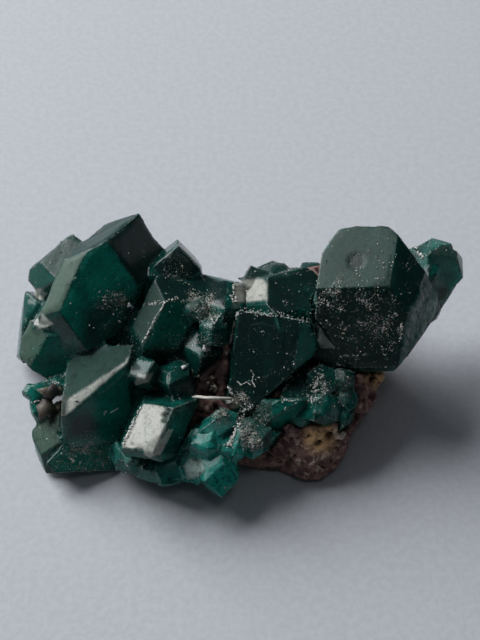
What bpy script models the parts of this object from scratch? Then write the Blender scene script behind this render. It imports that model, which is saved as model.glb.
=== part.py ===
"""Dioptase crystals on a porous brown matrix, a small mineral specimen.

Frame: metres, +Z up, origin on the level of the flat broken foot that the
specimen rests on, under the middle of its width and depth, +X to the right
and -Y towards the front.  The widest span, left crystals to right crystals,
is about 46 mm.

Every crystal has the form of dioptase: a six-sided prism closed at both
ends by a three-faced rhombohedron.  A crystal is the space inside twelve
planes, so each one is cut out of a block, plane by plane.  Crystals that
have grown into each other are joined in one solid.
"""

import math
from dataclasses import dataclass, field

import bmesh
import bpy
import numpy as np
from mathutils import Matrix, Vector, noise

MM = 0.001

# Room left between one piece and the piece it grows against.
GAP = 0.3 * MM

# Angle between the long axis of a crystal and the normal of its end faces.
END_FACE_ANGLE = math.radians(51.0)

# Foot of the specimen.
FOOT_LEVEL = 0.0

# The sizes below are measured from a point on the foot.  The specimen is
# moved by this much at the end, which brings its middle over the origin.
TO_ORIGIN = Vector((0.55, 2.95, 0.0)) * MM

# Matrix surface.
MATRIX_AROUND = 112
MATRIX_LEVELS = 20
MATRIX_LUMP_SIZE = 3.2 * MM
MATRIX_LUMP_HEIGHT = 0.55 * MM
MATRIX_PIT_SIZE = 1.3 * MM
MATRIX_PIT_DEPTH = 0.64 * MM


# --------------------------------------------------------------------------
# Crystal form
# --------------------------------------------------------------------------

def face_normals():
    """Outward normals of the twelve faces, by name, in the crystal's own frame."""
    normals = {}
    for turn in range(0, 360, 60):
        angle = math.radians(turn)
        normals[f"m{turn}"] = Vector((math.cos(angle), math.sin(angle), 0.0))
    side = math.sin(END_FACE_ANGLE)
    along = math.cos(END_FACE_ANGLE)
    for turn in (30, 150, 270):
        angle = math.radians(turn)
        normals[f"R{turn}"] = Vector((side * math.cos(angle), side * math.sin(angle), along))
    for turn in (90, 210, 330):
        angle = math.radians(turn)
        normals[f"r{turn}"] = Vector((side * math.cos(angle), side * math.sin(angle), -along))
    return normals


FACE_NORMALS = face_normals()


@dataclass
class Crystal:
    """One crystal, sizes in millimetres and angles in degrees.

    at       a point inside the crystal or on its surface
    lie      bearing of the long axis, its lean from upright, turn about it
    radius   distance of the prism faces from the point
    half     half length, which sets the distance of the end faces
    faces    distances of single faces, where they differ
    breaks   broken surfaces: a direction and the distance of the plane
    """
    at: tuple
    lie: tuple
    radius: float = 6.0
    half: float = 9.0
    faces: dict = field(default_factory=dict)
    breaks: list = field(default_factory=list)

    def planes(self, grow=0.0):
        """Point, outward normal pairs of all the planes, moved out by grow metres."""
        bearing, lean, turn = (math.radians(a) for a in self.lie)
        pose = (Matrix.Rotation(bearing, 3, 'Z') @ Matrix.Rotation(lean, 3, 'Y')
                @ Matrix.Rotation(turn, 3, 'Z'))
        point = Vector(self.at) * MM
        pairs = []
        for name, normal in FACE_NORMALS.items():
            distance = self.radius if name[0] == "m" else self.half * math.cos(END_FACE_ANGLE)
            distance = self.faces.get(name, distance)
            turned = (pose @ normal).normalized()
            pairs.append((point + turned * (distance * MM + grow), turned))
        for direction, distance in self.breaks:
            way = Vector(direction).normalized()
            pairs.append((point + way * (distance * MM + grow), way))
        return pairs


# --------------------------------------------------------------------------
# Left group: the tallest crystal, its parallel neighbours and the slabs below
# --------------------------------------------------------------------------

TALL_CRYSTAL = Crystal(
    at=(-13.0, 4.1, 17.5), lie=(60, 54, 96), radius=9.0, half=14.3,
    faces={"m120": 0.0, "R150": 0.0, "R30": 0.0, "m60": 1.3, "m0": 3.6,
           "m180": 4.2, "m240": 9.4, "R270": 7.2, "r90": 5.8})

SHOULDER_CRYSTAL = Crystal(
    at=(-20.2, 5.5, 12.5), lie=(348, 40, 40), radius=5.0, half=7.9,
    faces={"m120": 0.0, "m180": 0.0, "R150": 0.0, "m240": 2.3, "R30": 4.6,
           "R270": 3.2, "r90": 2.0, "r210": 2.1},
    breaks=[((-0.98, -0.04, 0.21), 0.9)])

MIRROR_CHIP = Crystal(
    at=(-19.8, 0.0, 11.0), lie=(272, 52, 60), radius=3.0, half=4.8,
    faces={"R150": 0.0, "m120": 0.2, "m180": 0.2, "R30": 1.6, "R270": 1.5,
           "m60": 2.0, "m240": 2.0})

PEAK_CRYSTAL = Crystal(
    at=(-6.2, 5.7, 15.0), lie=(68, 12, 52), radius=2.6, half=12.7,
    faces={"R30": 0.0, "R150": 0.0, "R270": 0.0, "m0": 4.0, "m120": 3.0, "m300": 4.0})

SADDLE_CRYSTAL = Crystal(
    at=(-1.0, 2.6, 13.0), lie=(84, 100, 40), radius=4.0, half=6.4,
    faces={"m120": 0.0, "m180": 0.0, "R150": 0.0, "m60": 3.5, "m240": 2.0,
           "R270": 3.0, "r90": 2.5, "r210": 2.5, "r330": 6.0})

CRESTED_CRYSTAL = Crystal(
    at=(-7.3, -0.5, 13.5), lie=(60, 64, 36), radius=6.0, half=11.1,
    faces={"m120": 0.0, "m180": 0.0, "R150": 0.0, "m60": 2.5, "m240": 3.0,
           "R30": 4.0, "R270": 5.0, "r90": 3.2, "r210": 3.4})

EDGE_CRYSTAL = Crystal(
    at=(-22.0, 4.8, 8.0), lie=(60, 54, 96), radius=3.0, half=9.5,
    faces={"m60": 0.0, "m0": 0.5, "m120": 1.5, "m240": 5.0, "R30": 0.6,
           "R150": 3.0, "r90": 5.0},
    breaks=[((0.50, 0.62, 0.61), 0.3), ((-0.98, -0.04, 0.22), 0.2),
            ((-0.83, -0.54, -0.16), 4.0)])

BROAD_GREEN_CRYSTAL = Crystal(
    at=(-19.0, -2.5, 10.5), lie=(8, 92, 4), radius=6.0, half=11.1,
    faces={"m180": 0.0, "m240": 0.0, "r210": 0.0, "m120": 2.0, "m300": 5.4,
           "r90": 3.0, "r330": 4.0},
    breaks=[((-0.98, -0.04, 0.22), 2.5), ((-0.81, -0.58, -0.07), 3.1)])

LONG_SLAB = Crystal(
    at=(-16.9, -10.0, 7.5), lie=(34, 66, 10), radius=6.0, half=11.1,
    faces={"m180": 0.0, "m240": 0.0, "r210": 0.0, "m120": 3.5, "m300": 6.5,
           "R270": 5.0, "r90": 3.0, "r330": 4.0},
    breaks=[((-0.39, -0.06, 0.92), 0.46), ((-1.0, 0.05, 0.0), 0.6)])

LOW_SLAB = Crystal(
    at=(-14.4, -10.9, 2.6), lie=(34, 66, 10), radius=4.5, half=7.0,
    breaks=[((0.47, -0.53, 0.71), 0.0), ((0.0, -0.79, -0.62), 1.95),
            ((-0.78, -0.49, -0.38), 4.2), ((-0.73, 0.54, 0.42), 2.8),
            ((1.0, 0.0, 0.0), 2.6), ((0.0, 0.0, -1.0), 1.9)])

MIRROR_CRYSTAL = Crystal(
    at=(-9.4, -9.4, 9.0), lie=(272, 52, 60), radius=5.0, half=7.9,
    faces={"m120": 0.0, "m180": 0.0, "R150": 0.0, "m240": 4.0, "R30": 3.5,
           "R270": 4.9, "r90": 3.0, "r210": 4.0})

CORNER_CRYSTAL = Crystal(
    at=(-17.6, -11.0, 4.6), lie=(116, 20, 92), radius=4.0, half=7.9,
    faces={"m60": 0.0, "R30": 0.0, "R150": 0.0, "m120": 0.0, "m0": 2.1,
           "m240": 5.0, "R270": 3.0, "r90": 2.0},
    breaks=[((0.0, 0.0, -1.0), 4.1)])

LEFT_SMALL = [
    Crystal(at=(-20.8, -6.0, 6.0), lie=(200, 60, 20), radius=0.8, half=1.2),
    Crystal(at=(-19.9, -7.5, 4.9), lie=(160, 40, 20), radius=1.0, half=1.6),
    Crystal(at=(-19.2, -5.9, 6.4), lie=(20, 88, 8), radius=0.9, half=2.2),
    Crystal(at=(-4.2, -0.6, 12.3), lie=(60, 54, 96), radius=1.0, half=1.5),
    Crystal(at=(-2.6, -2.4, 11.3), lie=(84, 96, 30), radius=1.4, half=2.2),
    Crystal(at=(-9.2, -6.1, 9.3), lie=(270, 50, 60), radius=1.5, half=2.0),
    Crystal(at=(-6.3, -6.3, 8.3), lie=(90, 80, 10), radius=1.8, half=2.6),
    Crystal(at=(-17.6, -8.2, 4.2), lie=(100, 70, 10), radius=1.3, half=2.2),
    Crystal(at=(-16.0, 7.0, 8.4), lie=(150, 70, 20), radius=2.0, half=3.0),
    Crystal(at=(-19.5, 3.5, 6.2), lie=(190, 60, 10), radius=1.8, half=2.8),
    Crystal(at=(-8.0, 7.6, 8.6), lie=(100, 75, 0), radius=1.8, half=2.8),
    Crystal(at=(-3.4, 5.0, 7.2), lie=(60, 60, 40), radius=1.5, half=2.3),
]

# Intergrown crystals the left group stands on.
LEFT_ROOTS = [
    Crystal(at=(-13.0, 1.5, 7.0), lie=(60, 54, 96), radius=3.4, half=6.0),
    Crystal(at=(-9.5, -3.6, 5.2), lie=(24, 86, 20), radius=2.6, half=5.5),
    Crystal(at=(-4.0, -1.5, 7.6), lie=(84, 80, 40), radius=3.0, half=5.0),
    Crystal(at=(-15.8, -2.0, 5.0), lie=(70, 80, 10), radius=2.2, half=4.5),
]

LEFT_GROUP = [
    TALL_CRYSTAL, SHOULDER_CRYSTAL, MIRROR_CHIP, PEAK_CRYSTAL, SADDLE_CRYSTAL,
    CRESTED_CRYSTAL, EDGE_CRYSTAL, BROAD_GREEN_CRYSTAL, LONG_SLAB, LOW_SLAB,
    MIRROR_CRYSTAL, CORNER_CRYSTAL, *LEFT_SMALL, *LEFT_ROOTS,
]


# --------------------------------------------------------------------------
# Right group: the square-topped crystal and the broken ones on its right
# --------------------------------------------------------------------------

SQUARE_CRYSTAL = Crystal(
    at=(14.3, -2.2, 18.0), lie=(140, 52, 8), radius=8.0, half=14.3,
    faces={"m120": 0.0, "m180": 0.0, "R150": 0.0, "m60": 7.0, "m240": 4.2,
           "R30": 7.2, "R270": 6.8, "r90": 6.2, "r330": 12.0},
    breaks=[((0.78, -0.49, -0.38), 5.7), ((0.86, -0.36, 0.37), 1.5),
            ((0.84, -0.50, 0.19), 1.8), ((-0.81, 0.46, 0.36), 7.1),
            ((0.05, -0.79, -0.61), 8.2)])

RIGHT_END_CRYSTAL = Crystal(
    at=(20.2, 4.7, 14.5), lie=(88, 76, 10), radius=5.0, half=11.1,
    faces={"m120": 1.2, "m180": 0.0, "R150": 0.7, "m60": 1.6, "m240": 1.3,
           "R30": 5.3, "R270": 3.0, "r90": 4.0, "r210": 4.0, "m300": 3.6},
    breaks=[((0.78, -0.49, -0.38), 3.2), ((0.0, -0.97, 0.25), 0.05),
            ((0.50, 0.67, 0.52), 1.1)])

RIGHT_FILL_CRYSTAL = Crystal(
    at=(18.8, 5.4, 13.8), lie=(88, 76, 10), radius=6.0, half=12.7,
    faces={"m120": 0.0, "m180": 0.0, "R150": 0.0, "m60": 5.2, "m240": 2.5,
           "m300": 5.0, "R30": 3.2, "R270": 3.0, "r90": 8.0, "r210": 7.0},
    breaks=[((0.78, -0.49, -0.38), 4.6), ((0.74, -0.50, 0.45), 1.1)])

RIGHT_SMALL = [
    Crystal(at=(7.9, 5.3, 12.8), lie=(30, 40, 10), radius=1.3, half=2.0),
    Crystal(at=(8.8, -0.9, 13.2), lie=(70, 60, 20), radius=1.6, half=2.2),
    Crystal(at=(10.0, -1.8, 11.8), lie=(120, 60, 20), radius=1.5, half=2.1),
    Crystal(at=(14.0, 5.6, 9.4), lie=(80, 70, 20), radius=2.1, half=3.2),
    Crystal(at=(18.6, 3.0, 8.4), lie=(30, 80, 0), radius=1.9, half=2.8),
    Crystal(at=(9.6, -2.9, 9.2), lie=(140, 52, 8), radius=2.6, half=4.0),
]

RIGHT_GROUP = [SQUARE_CRYSTAL, RIGHT_END_CRYSTAL, RIGHT_FILL_CRYSTAL, *RIGHT_SMALL]


# --------------------------------------------------------------------------
# Centre group: the rimmed crystal, the one behind it and the one in front
# --------------------------------------------------------------------------

RIMMED_CRYSTAL = Crystal(
    at=(5.8, -4.2, 14.5), lie=(78, 42, 47), radius=9.0, half=16.0,
    faces={"m120": 0.0, "m180": 0.0, "m60": 5.6, "m240": 2.6, "r90": 8.2, "r210": 2.9},
    breaks=[((0.19, 0.80, 0.50), 0.6), ((0.87, 0.39, 0.30), 0.95)])

BACK_CRYSTAL = Crystal(
    at=(2.7, 1.9, 14.5), lie=(88, 96, 12), radius=6.0, half=9.5,
    faces={"m120": 0.0, "m180": 0.0, "R150": 0.0, "m60": 4.1, "m240": 5.5,
           "R30": 4.5, "R270": 5.0, "r90": 2.4, "r210": 3.5})

EMERALD_CRYSTAL = Crystal(
    at=(3.1, -9.5, 9.0), lie=(204, 112, 28), radius=4.0, half=6.4,
    faces={"m120": 0.0, "m180": 0.0, "R150": 0.0, "m60": 1.0, "R30": 4.1,
           "R270": 5.0, "r90": 3.6},
    breaks=[((0.0, 0.79, 0.62), 0.4)])

CENTRE_SMALL = [
    Crystal(at=(-2.6, -4.6, 10.3), lie=(20, 50, 30), radius=1.3, half=1.9),
    Crystal(at=(7.1, -1.5, 12.5), lie=(20, 80, 20), radius=1.2, half=1.7),
    Crystal(at=(8.0, -6.6, 8.4), lie=(78, 42, 47), radius=1.8, half=2.4),
    Crystal(at=(7.8, -9.0, 7.5), lie=(200, 100, 30), radius=1.6, half=2.4),
    Crystal(at=(10.2, -6.4, 9.0), lie=(80, 70, 30), radius=1.1, half=1.8),
    Crystal(at=(10.4, -7.7, 7.5), lie=(100, 90, 0), radius=1.2, half=1.8),
    Crystal(at=(10.2, -9.0, 6.1), lie=(70, 60, 50), radius=1.1, half=1.6),
    Crystal(at=(1.5, 3.3, 12.1), lie=(120, 30, 20), radius=1.6, half=1.9),
    Crystal(at=(3.6, 3.9, 11.8), lie=(88, 96, 12), radius=1.4, half=2.4),
    Crystal(at=(0.6, 2.9, 11.4), lie=(150, 40, 0), radius=1.1, half=1.6),
    Crystal(at=(3.4, 6.0, 8.2), lie=(90, 75, 20), radius=1.8, half=2.9),
    Crystal(at=(7.4, 6.8, 8.2), lie=(60, 60, 0), radius=1.5, half=2.3),
]

CENTRE_ROOTS = [
    Crystal(at=(4.6, -1.4, 7.2), lie=(78, 42, 47), radius=3.0, half=4.5),
    Crystal(at=(7.0, -7.0, 6.8), lie=(30, 85, 10), radius=2.2, half=4.2),
    Crystal(at=(4.5, 3.5, 8.8), lie=(70, 80, 10), radius=2.6, half=4.2),
]

CENTRE_GROUP = [
    RIMMED_CRYSTAL, BACK_CRYSTAL, EMERALD_CRYSTAL, *CENTRE_SMALL, *CENTRE_ROOTS,
]


# --------------------------------------------------------------------------
# Front druse: small clear emerald crystals along the front edge
# --------------------------------------------------------------------------

FRONT_DRUSE = [
    Crystal(at=(-2.3, -13.8, 4.6), lie=(280, 100, 15), radius=1.9, half=3.4),
    Crystal(at=(-3.1, -12.6, 6.5), lie=(200, 60, 40), radius=1.5, half=2.3),
    Crystal(at=(-1.2, -12.7, 6.0), lie=(60, 70, 10), radius=1.3, half=2.0),
    Crystal(at=(-4.7, -13.7, 4.1), lie=(120, 40, 30), radius=1.4, half=2.0),
    Crystal(at=(-6.9, -13.6, 3.4), lie=(250, 80, 10), radius=1.6, half=2.3),
    Crystal(at=(-8.8, -13.2, 3.4), lie=(310, 60, 20), radius=1.4, half=2.0),
    Crystal(at=(-10.5, -12.5, 4.0), lie=(30, 50, 0), radius=1.4, half=2.1),
    Crystal(at=(0.0, -12.5, 6.9), lie=(65, 60, 30), radius=0.8, half=2.1),
    Crystal(at=(1.4, -11.9, 6.4), lie=(20, 60, 15), radius=1.5, half=2.2),
    Crystal(at=(-2.2, -11.0, 7.0), lie=(35, 80, 25), radius=1.3, half=2.6),
    Crystal(at=(-1.0, -11.0, 5.2), lie=(10, 88, 20), radius=1.8, half=5.5),
    Crystal(at=(-8.0, -11.6, 3.6), lie=(0, 86, 10), radius=1.6, half=5.5),
]


# --------------------------------------------------------------------------
# Matrix: outlines of the rock, level by level, in millimetres
# --------------------------------------------------------------------------

MATRIX_OUTLINES = [
    (0.0, [(9.5, -1.5), (9.0, 3.0), (6.0, 6.0), (0.0, 6.8), (-6.0, 7.5), (-11.5, 6.0),
           (-14.5, 2.0), (-15.0, -3.0), (-13.5, -7.5), (-8.5, -9.5), (-2.5, -10.3),
           (3.0, -11.2), (6.8, -12.2), (9.2, -10.8), (9.8, -6.0)]),
    (1.5, [(11.0, -1.5), (10.5, 3.8), (7.0, 7.0), (0.0, 7.2), (-6.0, 8.5), (-12.5, 7.0),
           (-16.0, 2.5), (-16.6, -3.0), (-14.6, -8.0), (-8.5, -10.0), (-2.0, -10.8),
           (3.5, -12.0), (7.5, -12.8), (10.2, -10.8), (11.0, -6.0)]),
    (4.0, [(12.8, -1.0), (12.0, 4.5), (8.0, 8.0), (0.0, 6.6), (-6.0, 8.6), (-13.5, 8.0),
           (-17.2, 3.0), (-17.2, -2.5), (-14.5, -7.0), (-8.0, -9.0), (-1.5, -9.8),
           (4.0, -11.5), (8.6, -11.8), (11.6, -9.2), (12.8, -5.0)]),
    (6.5, [(14.0, -0.5), (13.0, 5.0), (8.5, 8.5), (0.0, 5.2), (-6.5, 8.0), (-13.0, 8.4),
           (-16.6, 4.0), (-16.0, -1.0), (-13.0, -5.5), (-7.0, -7.5), (-1.0, -8.4),
           (4.5, -10.0), (9.0, -10.2), (12.8, -7.6), (14.2, -4.4)]),
    (9.0, [(14.6, -0.3), (13.2, 4.8), (8.5, 7.6), (1.0, 3.4), (-6.5, 6.6), (-11.5, 7.6),
           (-14.0, 4.4), (-13.0, 0.5), (-10.0, -2.5), (-5.5, -4.2), (0.0, -5.0),
           (5.0, -6.2), (9.5, -6.6), (13.2, -5.2), (14.8, -3.2)]),
    (11.0, [(13.0, 0.6), (11.5, 4.2), (7.5, 6.0), (2.2, 2.4), (-5.5, 4.6), (-9.0, 6.2),
            (-11.0, 4.0), (-10.0, 1.6), (-7.5, -0.2), (-3.5, -1.0), (1.0, -1.6),
            (5.0, -2.6), (9.0, -3.0), (11.8, -2.0), (12.8, -0.8)]),
    (12.0, [(9.0, 1.4), (8.0, 2.8), (5.5, 3.2), (2.4, 2.2), (-3.0, 2.4), (-5.5, 3.6),
            (-6.8, 3.2), (-6.0, 2.2), (-4.2, 1.4), (-1.5, 1.0), (1.5, 0.6),
            (4.5, 0.0), (7.0, -0.2), (8.4, 0.2), (9.0, 0.8)]),
]


# --------------------------------------------------------------------------
# Building
# --------------------------------------------------------------------------

def clear_scene():
    """Remove whatever the start-up scene holds."""
    for item in list(bpy.data.objects):
        bpy.data.objects.remove(item, do_unlink=True)


def link(name, mesh):
    """Object of that name holding the mesh, linked to the scene."""
    item = bpy.data.objects.new(name, mesh)
    bpy.context.scene.collection.objects.link(item)
    return item


def crystal_object(crystal, name, grow=0.0):
    """Block cut down to the crystal by its planes."""
    planes = crystal.planes(grow)
    shell = bmesh.new()
    bmesh.ops.create_cube(shell, size=0.08)
    bmesh.ops.translate(shell, verts=shell.verts, vec=Vector(crystal.at) * MM)
    for point, normal in planes:
        geometry = shell.verts[:] + shell.edges[:] + shell.faces[:]
        cut = bmesh.ops.bisect_plane(shell, geom=geometry, dist=1e-8, plane_co=point,
                                     plane_no=normal, clear_outer=True)
        edges = [e for e in cut["geom_cut"] if isinstance(e, bmesh.types.BMEdge)]
        if edges:
            bmesh.ops.contextual_create(shell, geom=edges)
    bmesh.ops.remove_doubles(shell, verts=shell.verts, dist=1e-6)
    bmesh.ops.recalc_face_normals(shell, faces=shell.faces)
    mesh = bpy.data.meshes.new(name)
    shell.to_mesh(mesh)
    shell.free()
    return link(name, mesh)


def combine(body, other, operation):
    """Join other to body, or cut it out of body, and drop other."""
    step = body.modifiers.new(operation.lower(), 'BOOLEAN')
    step.operation = operation
    step.solver = 'EXACT'
    step.object = other
    bpy.context.view_layer.update()
    result = bpy.data.meshes.new_from_object(
        body.evaluated_get(bpy.context.evaluated_depsgraph_get()))
    body.modifiers.clear()
    old = body.data
    body.data = result
    bpy.data.meshes.remove(old)
    bpy.data.objects.remove(other, do_unlink=True)


def weld(body):
    """Merge corners that fall on one another and drop faces without area."""
    shell = bmesh.new()
    shell.from_mesh(body.data)
    bmesh.ops.remove_doubles(shell, verts=shell.verts, dist=2e-6)
    bmesh.ops.dissolve_degenerate(shell, edges=shell.edges, dist=2e-6)
    shell.to_mesh(body.data)
    shell.free()


def keep_largest(body):
    """Drop crumbs cut loose from the main body."""
    weld(body)
    shell = bmesh.new()
    shell.from_mesh(body.data)
    seen = set()
    pieces = []
    for start in shell.verts:
        if start in seen:
            continue
        piece = set()
        waiting = [start]
        while waiting:
            vertex = waiting.pop()
            if vertex in piece:
                continue
            piece.add(vertex)
            waiting.extend(edge.other_vert(vertex) for edge in vertex.link_edges)
        seen |= piece
        pieces.append(piece)
    pieces.sort(key=len)
    loose = [vertex for piece in pieces[:-1] for vertex in piece]
    bmesh.ops.delete(shell, geom=loose, context='VERTS')
    bmesh.ops.recalc_face_normals(shell, faces=shell.faces)
    shell.to_mesh(body.data)
    shell.free()


def union_of(name, crystals, grow=0.0):
    """All the crystals joined in one solid, each face moved out by grow metres."""
    body = crystal_object(crystals[0], name, grow)
    for number, crystal in enumerate(crystals[1:]):
        combine(body, crystal_object(crystal, f"{name}_part_{number}", grow), 'UNION')
    weld(body)
    return body


def build_group(name, crystals, *neighbours):
    """Union of the crystals, cut back from each neighbouring group."""
    body = union_of(name, crystals)
    for number, group in enumerate(neighbours):
        combine(body, union_of(f"{name}_gap_{number}", group, GAP), 'DIFFERENCE')
        weld(body)
    keep_largest(body)
    return body


def closed_curve(points, count):
    """Smooth closed curve through the points, at evenly spaced parameters."""
    points = np.array(points, dtype=float)
    steps = np.linspace(0.0, len(points), count, endpoint=False)
    index = np.floor(steps).astype(int)
    t = (steps - index)[:, None]
    before, here, after, beyond = (np.roll(points, shift, axis=0)[index % len(points)]
                                   for shift in (1, 0, -1, -2))
    return 0.5 * (2.0 * here + (after - before) * t
                  + (2.0 * before - 5.0 * here + 4.0 * after - beyond) * t ** 2
                  + (3.0 * (here - after) + beyond - before) * t ** 3)


def matrix_rings():
    """Rings of points up the rock, from the foot to the top outline."""
    heights = np.array([height for height, _ in MATRIX_OUTLINES])
    curves = np.array([closed_curve(outline, MATRIX_AROUND) for _, outline in MATRIX_OUTLINES])
    levels = np.linspace(heights[0], heights[-1], MATRIX_LEVELS)
    rings = []
    for level in levels:
        flat = np.empty((MATRIX_AROUND, 2))
        for axis in (0, 1):
            for spoke in range(MATRIX_AROUND):
                flat[spoke, axis] = np.interp(level, heights, curves[:, spoke, axis])
        rings.append([Vector((x, y, level)) * MM for x, y in flat])
    return rings


def roughen(point, outward):
    """Point of the rock surface after its lumps and pits."""
    lump = noise.fractal(point / MATRIX_LUMP_SIZE, 1.0, 2.0, 2)
    pit = noise.noise(point / MATRIX_PIT_SIZE + Vector((7.0, 3.0, 5.0)))
    height = lump * MATRIX_LUMP_HEIGHT - max(0.0, pit) * MATRIX_PIT_DEPTH
    return point + outward * height


def build_matrix(*groups):
    """Porous rock with a flat broken foot, cut back from every crystal group."""
    rings = matrix_rings()
    shell = bmesh.new()
    rows = []
    for number, ring in enumerate(rings):
        middle = sum(ring, Vector()) / len(ring)
        row = []
        for spoke, point in enumerate(ring):
            along = ring[(spoke + 1) % len(ring)] - ring[spoke - 1]
            outward = Vector((along.y, -along.x, 0.0)).normalized()
            if (point - middle).dot(outward) < 0.0:
                outward = -outward
            rise = number / (len(rings) - 1)
            outward = (outward + Vector((0.0, 0.0, rise ** 3 * 2.0))).normalized()
            moved = roughen(point, outward)
            if number == 0:
                moved.z = FOOT_LEVEL
            row.append(shell.verts.new(moved))
        rows.append(row)
    for lower, upper in zip(rows, rows[1:]):
        for spoke in range(MATRIX_AROUND):
            after = (spoke + 1) % MATRIX_AROUND
            shell.faces.new((lower[spoke], lower[after], upper[after], upper[spoke]))
    shell.faces.new(list(reversed(rows[0])))
    top = sum((v.co for v in rows[-1]), Vector()) / MATRIX_AROUND
    peak = shell.verts.new(top + Vector((0.0, 0.0, 0.4 * MM)))
    for spoke in range(MATRIX_AROUND):
        shell.faces.new((rows[-1][spoke], rows[-1][(spoke + 1) % MATRIX_AROUND], peak))
    bmesh.ops.recalc_face_normals(shell, faces=shell.faces)
    mesh = bpy.data.meshes.new("matrix")
    shell.to_mesh(mesh)
    shell.free()
    body = link("matrix", mesh)
    for number, group in enumerate(groups):
        combine(body, union_of(f"matrix_pocket_{number}", group, GAP), 'DIFFERENCE')
        weld(body)
    keep_largest(body)
    return body


# --------------------------------------------------------------------------
# Materials
# --------------------------------------------------------------------------

def stone_material():
    """Dull reddish brown porous rock."""
    material = bpy.data.materials.new("brown_matrix")
    material.use_nodes = True
    shader = material.node_tree.nodes["Principled BSDF"]
    shader.inputs["Base Color"].default_value = (0.20, 0.105, 0.075, 1.0)
    shader.inputs["Roughness"].default_value = 0.9
    return material


def dioptase_material(name, colour):
    """Glassy green crystal of the given body colour."""
    material = bpy.data.materials.new(name)
    material.use_nodes = True
    shader = material.node_tree.nodes["Principled BSDF"]
    shader.inputs["Base Color"].default_value = (*colour, 1.0)
    shader.inputs["Roughness"].default_value = 0.16
    shader.inputs["IOR"].default_value = 1.67
    return material


def main():
    """Build every piece of the specimen and give it its material."""
    clear_scene()
    left = build_group("left_crystal_group", LEFT_GROUP)
    right = build_group("right_crystal_group", RIGHT_GROUP)
    centre = build_group("centre_crystal_group", CENTRE_GROUP, LEFT_GROUP, RIGHT_GROUP)
    front = build_group("front_druse", FRONT_DRUSE, LEFT_GROUP, CENTRE_GROUP)
    rock = build_matrix(CENTRE_GROUP, FRONT_DRUSE, RIGHT_GROUP, LEFT_GROUP)

    for body in (left, right, centre, front, rock):
        body.data.transform(Matrix.Translation(TO_ORIGIN))

    rock.data.materials.append(stone_material())
    left.data.materials.append(dioptase_material("deep_dioptase_left", (0.012, 0.075, 0.06)))
    right.data.materials.append(dioptase_material("deep_dioptase_right", (0.014, 0.08, 0.066)))
    centre.data.materials.append(dioptase_material("dioptase_centre", (0.016, 0.09, 0.072)))
    front.data.materials.append(dioptase_material("clear_dioptase_front", (0.03, 0.2, 0.155)))


main()
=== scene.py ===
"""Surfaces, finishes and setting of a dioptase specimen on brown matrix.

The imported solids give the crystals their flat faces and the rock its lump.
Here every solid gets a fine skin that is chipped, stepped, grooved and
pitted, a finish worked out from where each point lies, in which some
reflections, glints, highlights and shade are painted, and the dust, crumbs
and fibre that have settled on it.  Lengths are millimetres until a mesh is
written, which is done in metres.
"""

from __future__ import annotations

import logging
import math
from dataclasses import dataclass, field
from enum import Enum
from itertools import product
from typing import Iterable, Sequence

import bmesh
import bpy
import numpy as np
from mathutils import Matrix, Vector
from mathutils.bvhtree import BVHTree


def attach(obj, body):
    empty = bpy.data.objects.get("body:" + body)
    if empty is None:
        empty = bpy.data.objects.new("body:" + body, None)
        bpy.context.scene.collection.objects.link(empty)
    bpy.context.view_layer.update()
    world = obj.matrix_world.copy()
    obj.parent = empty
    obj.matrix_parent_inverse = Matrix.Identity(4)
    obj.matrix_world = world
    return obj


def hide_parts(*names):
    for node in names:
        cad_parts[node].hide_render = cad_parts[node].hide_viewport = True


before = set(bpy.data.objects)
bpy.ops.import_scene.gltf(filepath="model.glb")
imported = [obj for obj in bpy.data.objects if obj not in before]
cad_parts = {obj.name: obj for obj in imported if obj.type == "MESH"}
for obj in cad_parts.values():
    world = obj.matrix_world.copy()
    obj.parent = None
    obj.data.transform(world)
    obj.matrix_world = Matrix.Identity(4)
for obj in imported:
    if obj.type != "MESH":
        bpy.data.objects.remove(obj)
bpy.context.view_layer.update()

MM = 0.001
PIXEL_MM = 0.1      # about what one column or row covers on the specimen
CUBE_EDGES = 3      # edges that meet at the corner of a lone cube
FACE_ANGLE = 16.0   # degrees that a face's own normals may differ by
FACE_DEPTH = 0.35   # millimetres that its vertices may lie off its plane
FACE_WEIGHT = 0.9   # share of a face's tone in its colour
WEAR = 0.27         # millimetres over which worn edges are blended
BROAD = 0.85        # millimetres over which crevices are found
ROUND_OFF = 1.84    # millimetres over which blunt corners are blended
GRAIN_LIFT = 0.15   # share of its size by which a grain stands off the surface
GRAIN_STRAY = 0.05  # millimetres by which scattered grains stray
GRAIN_SKEW = 2.2    # the higher, the more of the grains are small
DAYLIGHT = (0.96, 0.98, 1.0)
ROOT = "root"

Floats = np.ndarray
Ints = np.ndarray
Colour = tuple[float, float, float]
Pixel = tuple[float, float]

log = logging.getLogger("dioptase")


# --------------------------------------------------------------------------
# Noise on whole arrays of points
# --------------------------------------------------------------------------

def cell_value(cells: Ints, seed: int) -> Floats:
    """Give every cell of a cubic lattice its own number.

    The three whole coordinates are multiplied by large primes, combined bit
    by bit, mixed by shifts and cut to 24 bits.

    Args:
        cells: Whole coordinates, three in the last axis.
        seed: Picks one of many independent patterns.

    Returns:
        Numbers from 0 to 1, one per cell.
    """
    mixed = (cells[..., 0] * 73856093) ^ (cells[..., 1] * 19349663) ^ (cells[..., 2] * 83492791)
    mixed = mixed ^ (seed * 668265263 + 374761393)
    mixed = (mixed ^ (mixed >> 13)) * 1274126177
    mixed = mixed ^ (mixed >> 16)
    return (mixed & 0xFFFFFF) / float(0x1000000)


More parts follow.
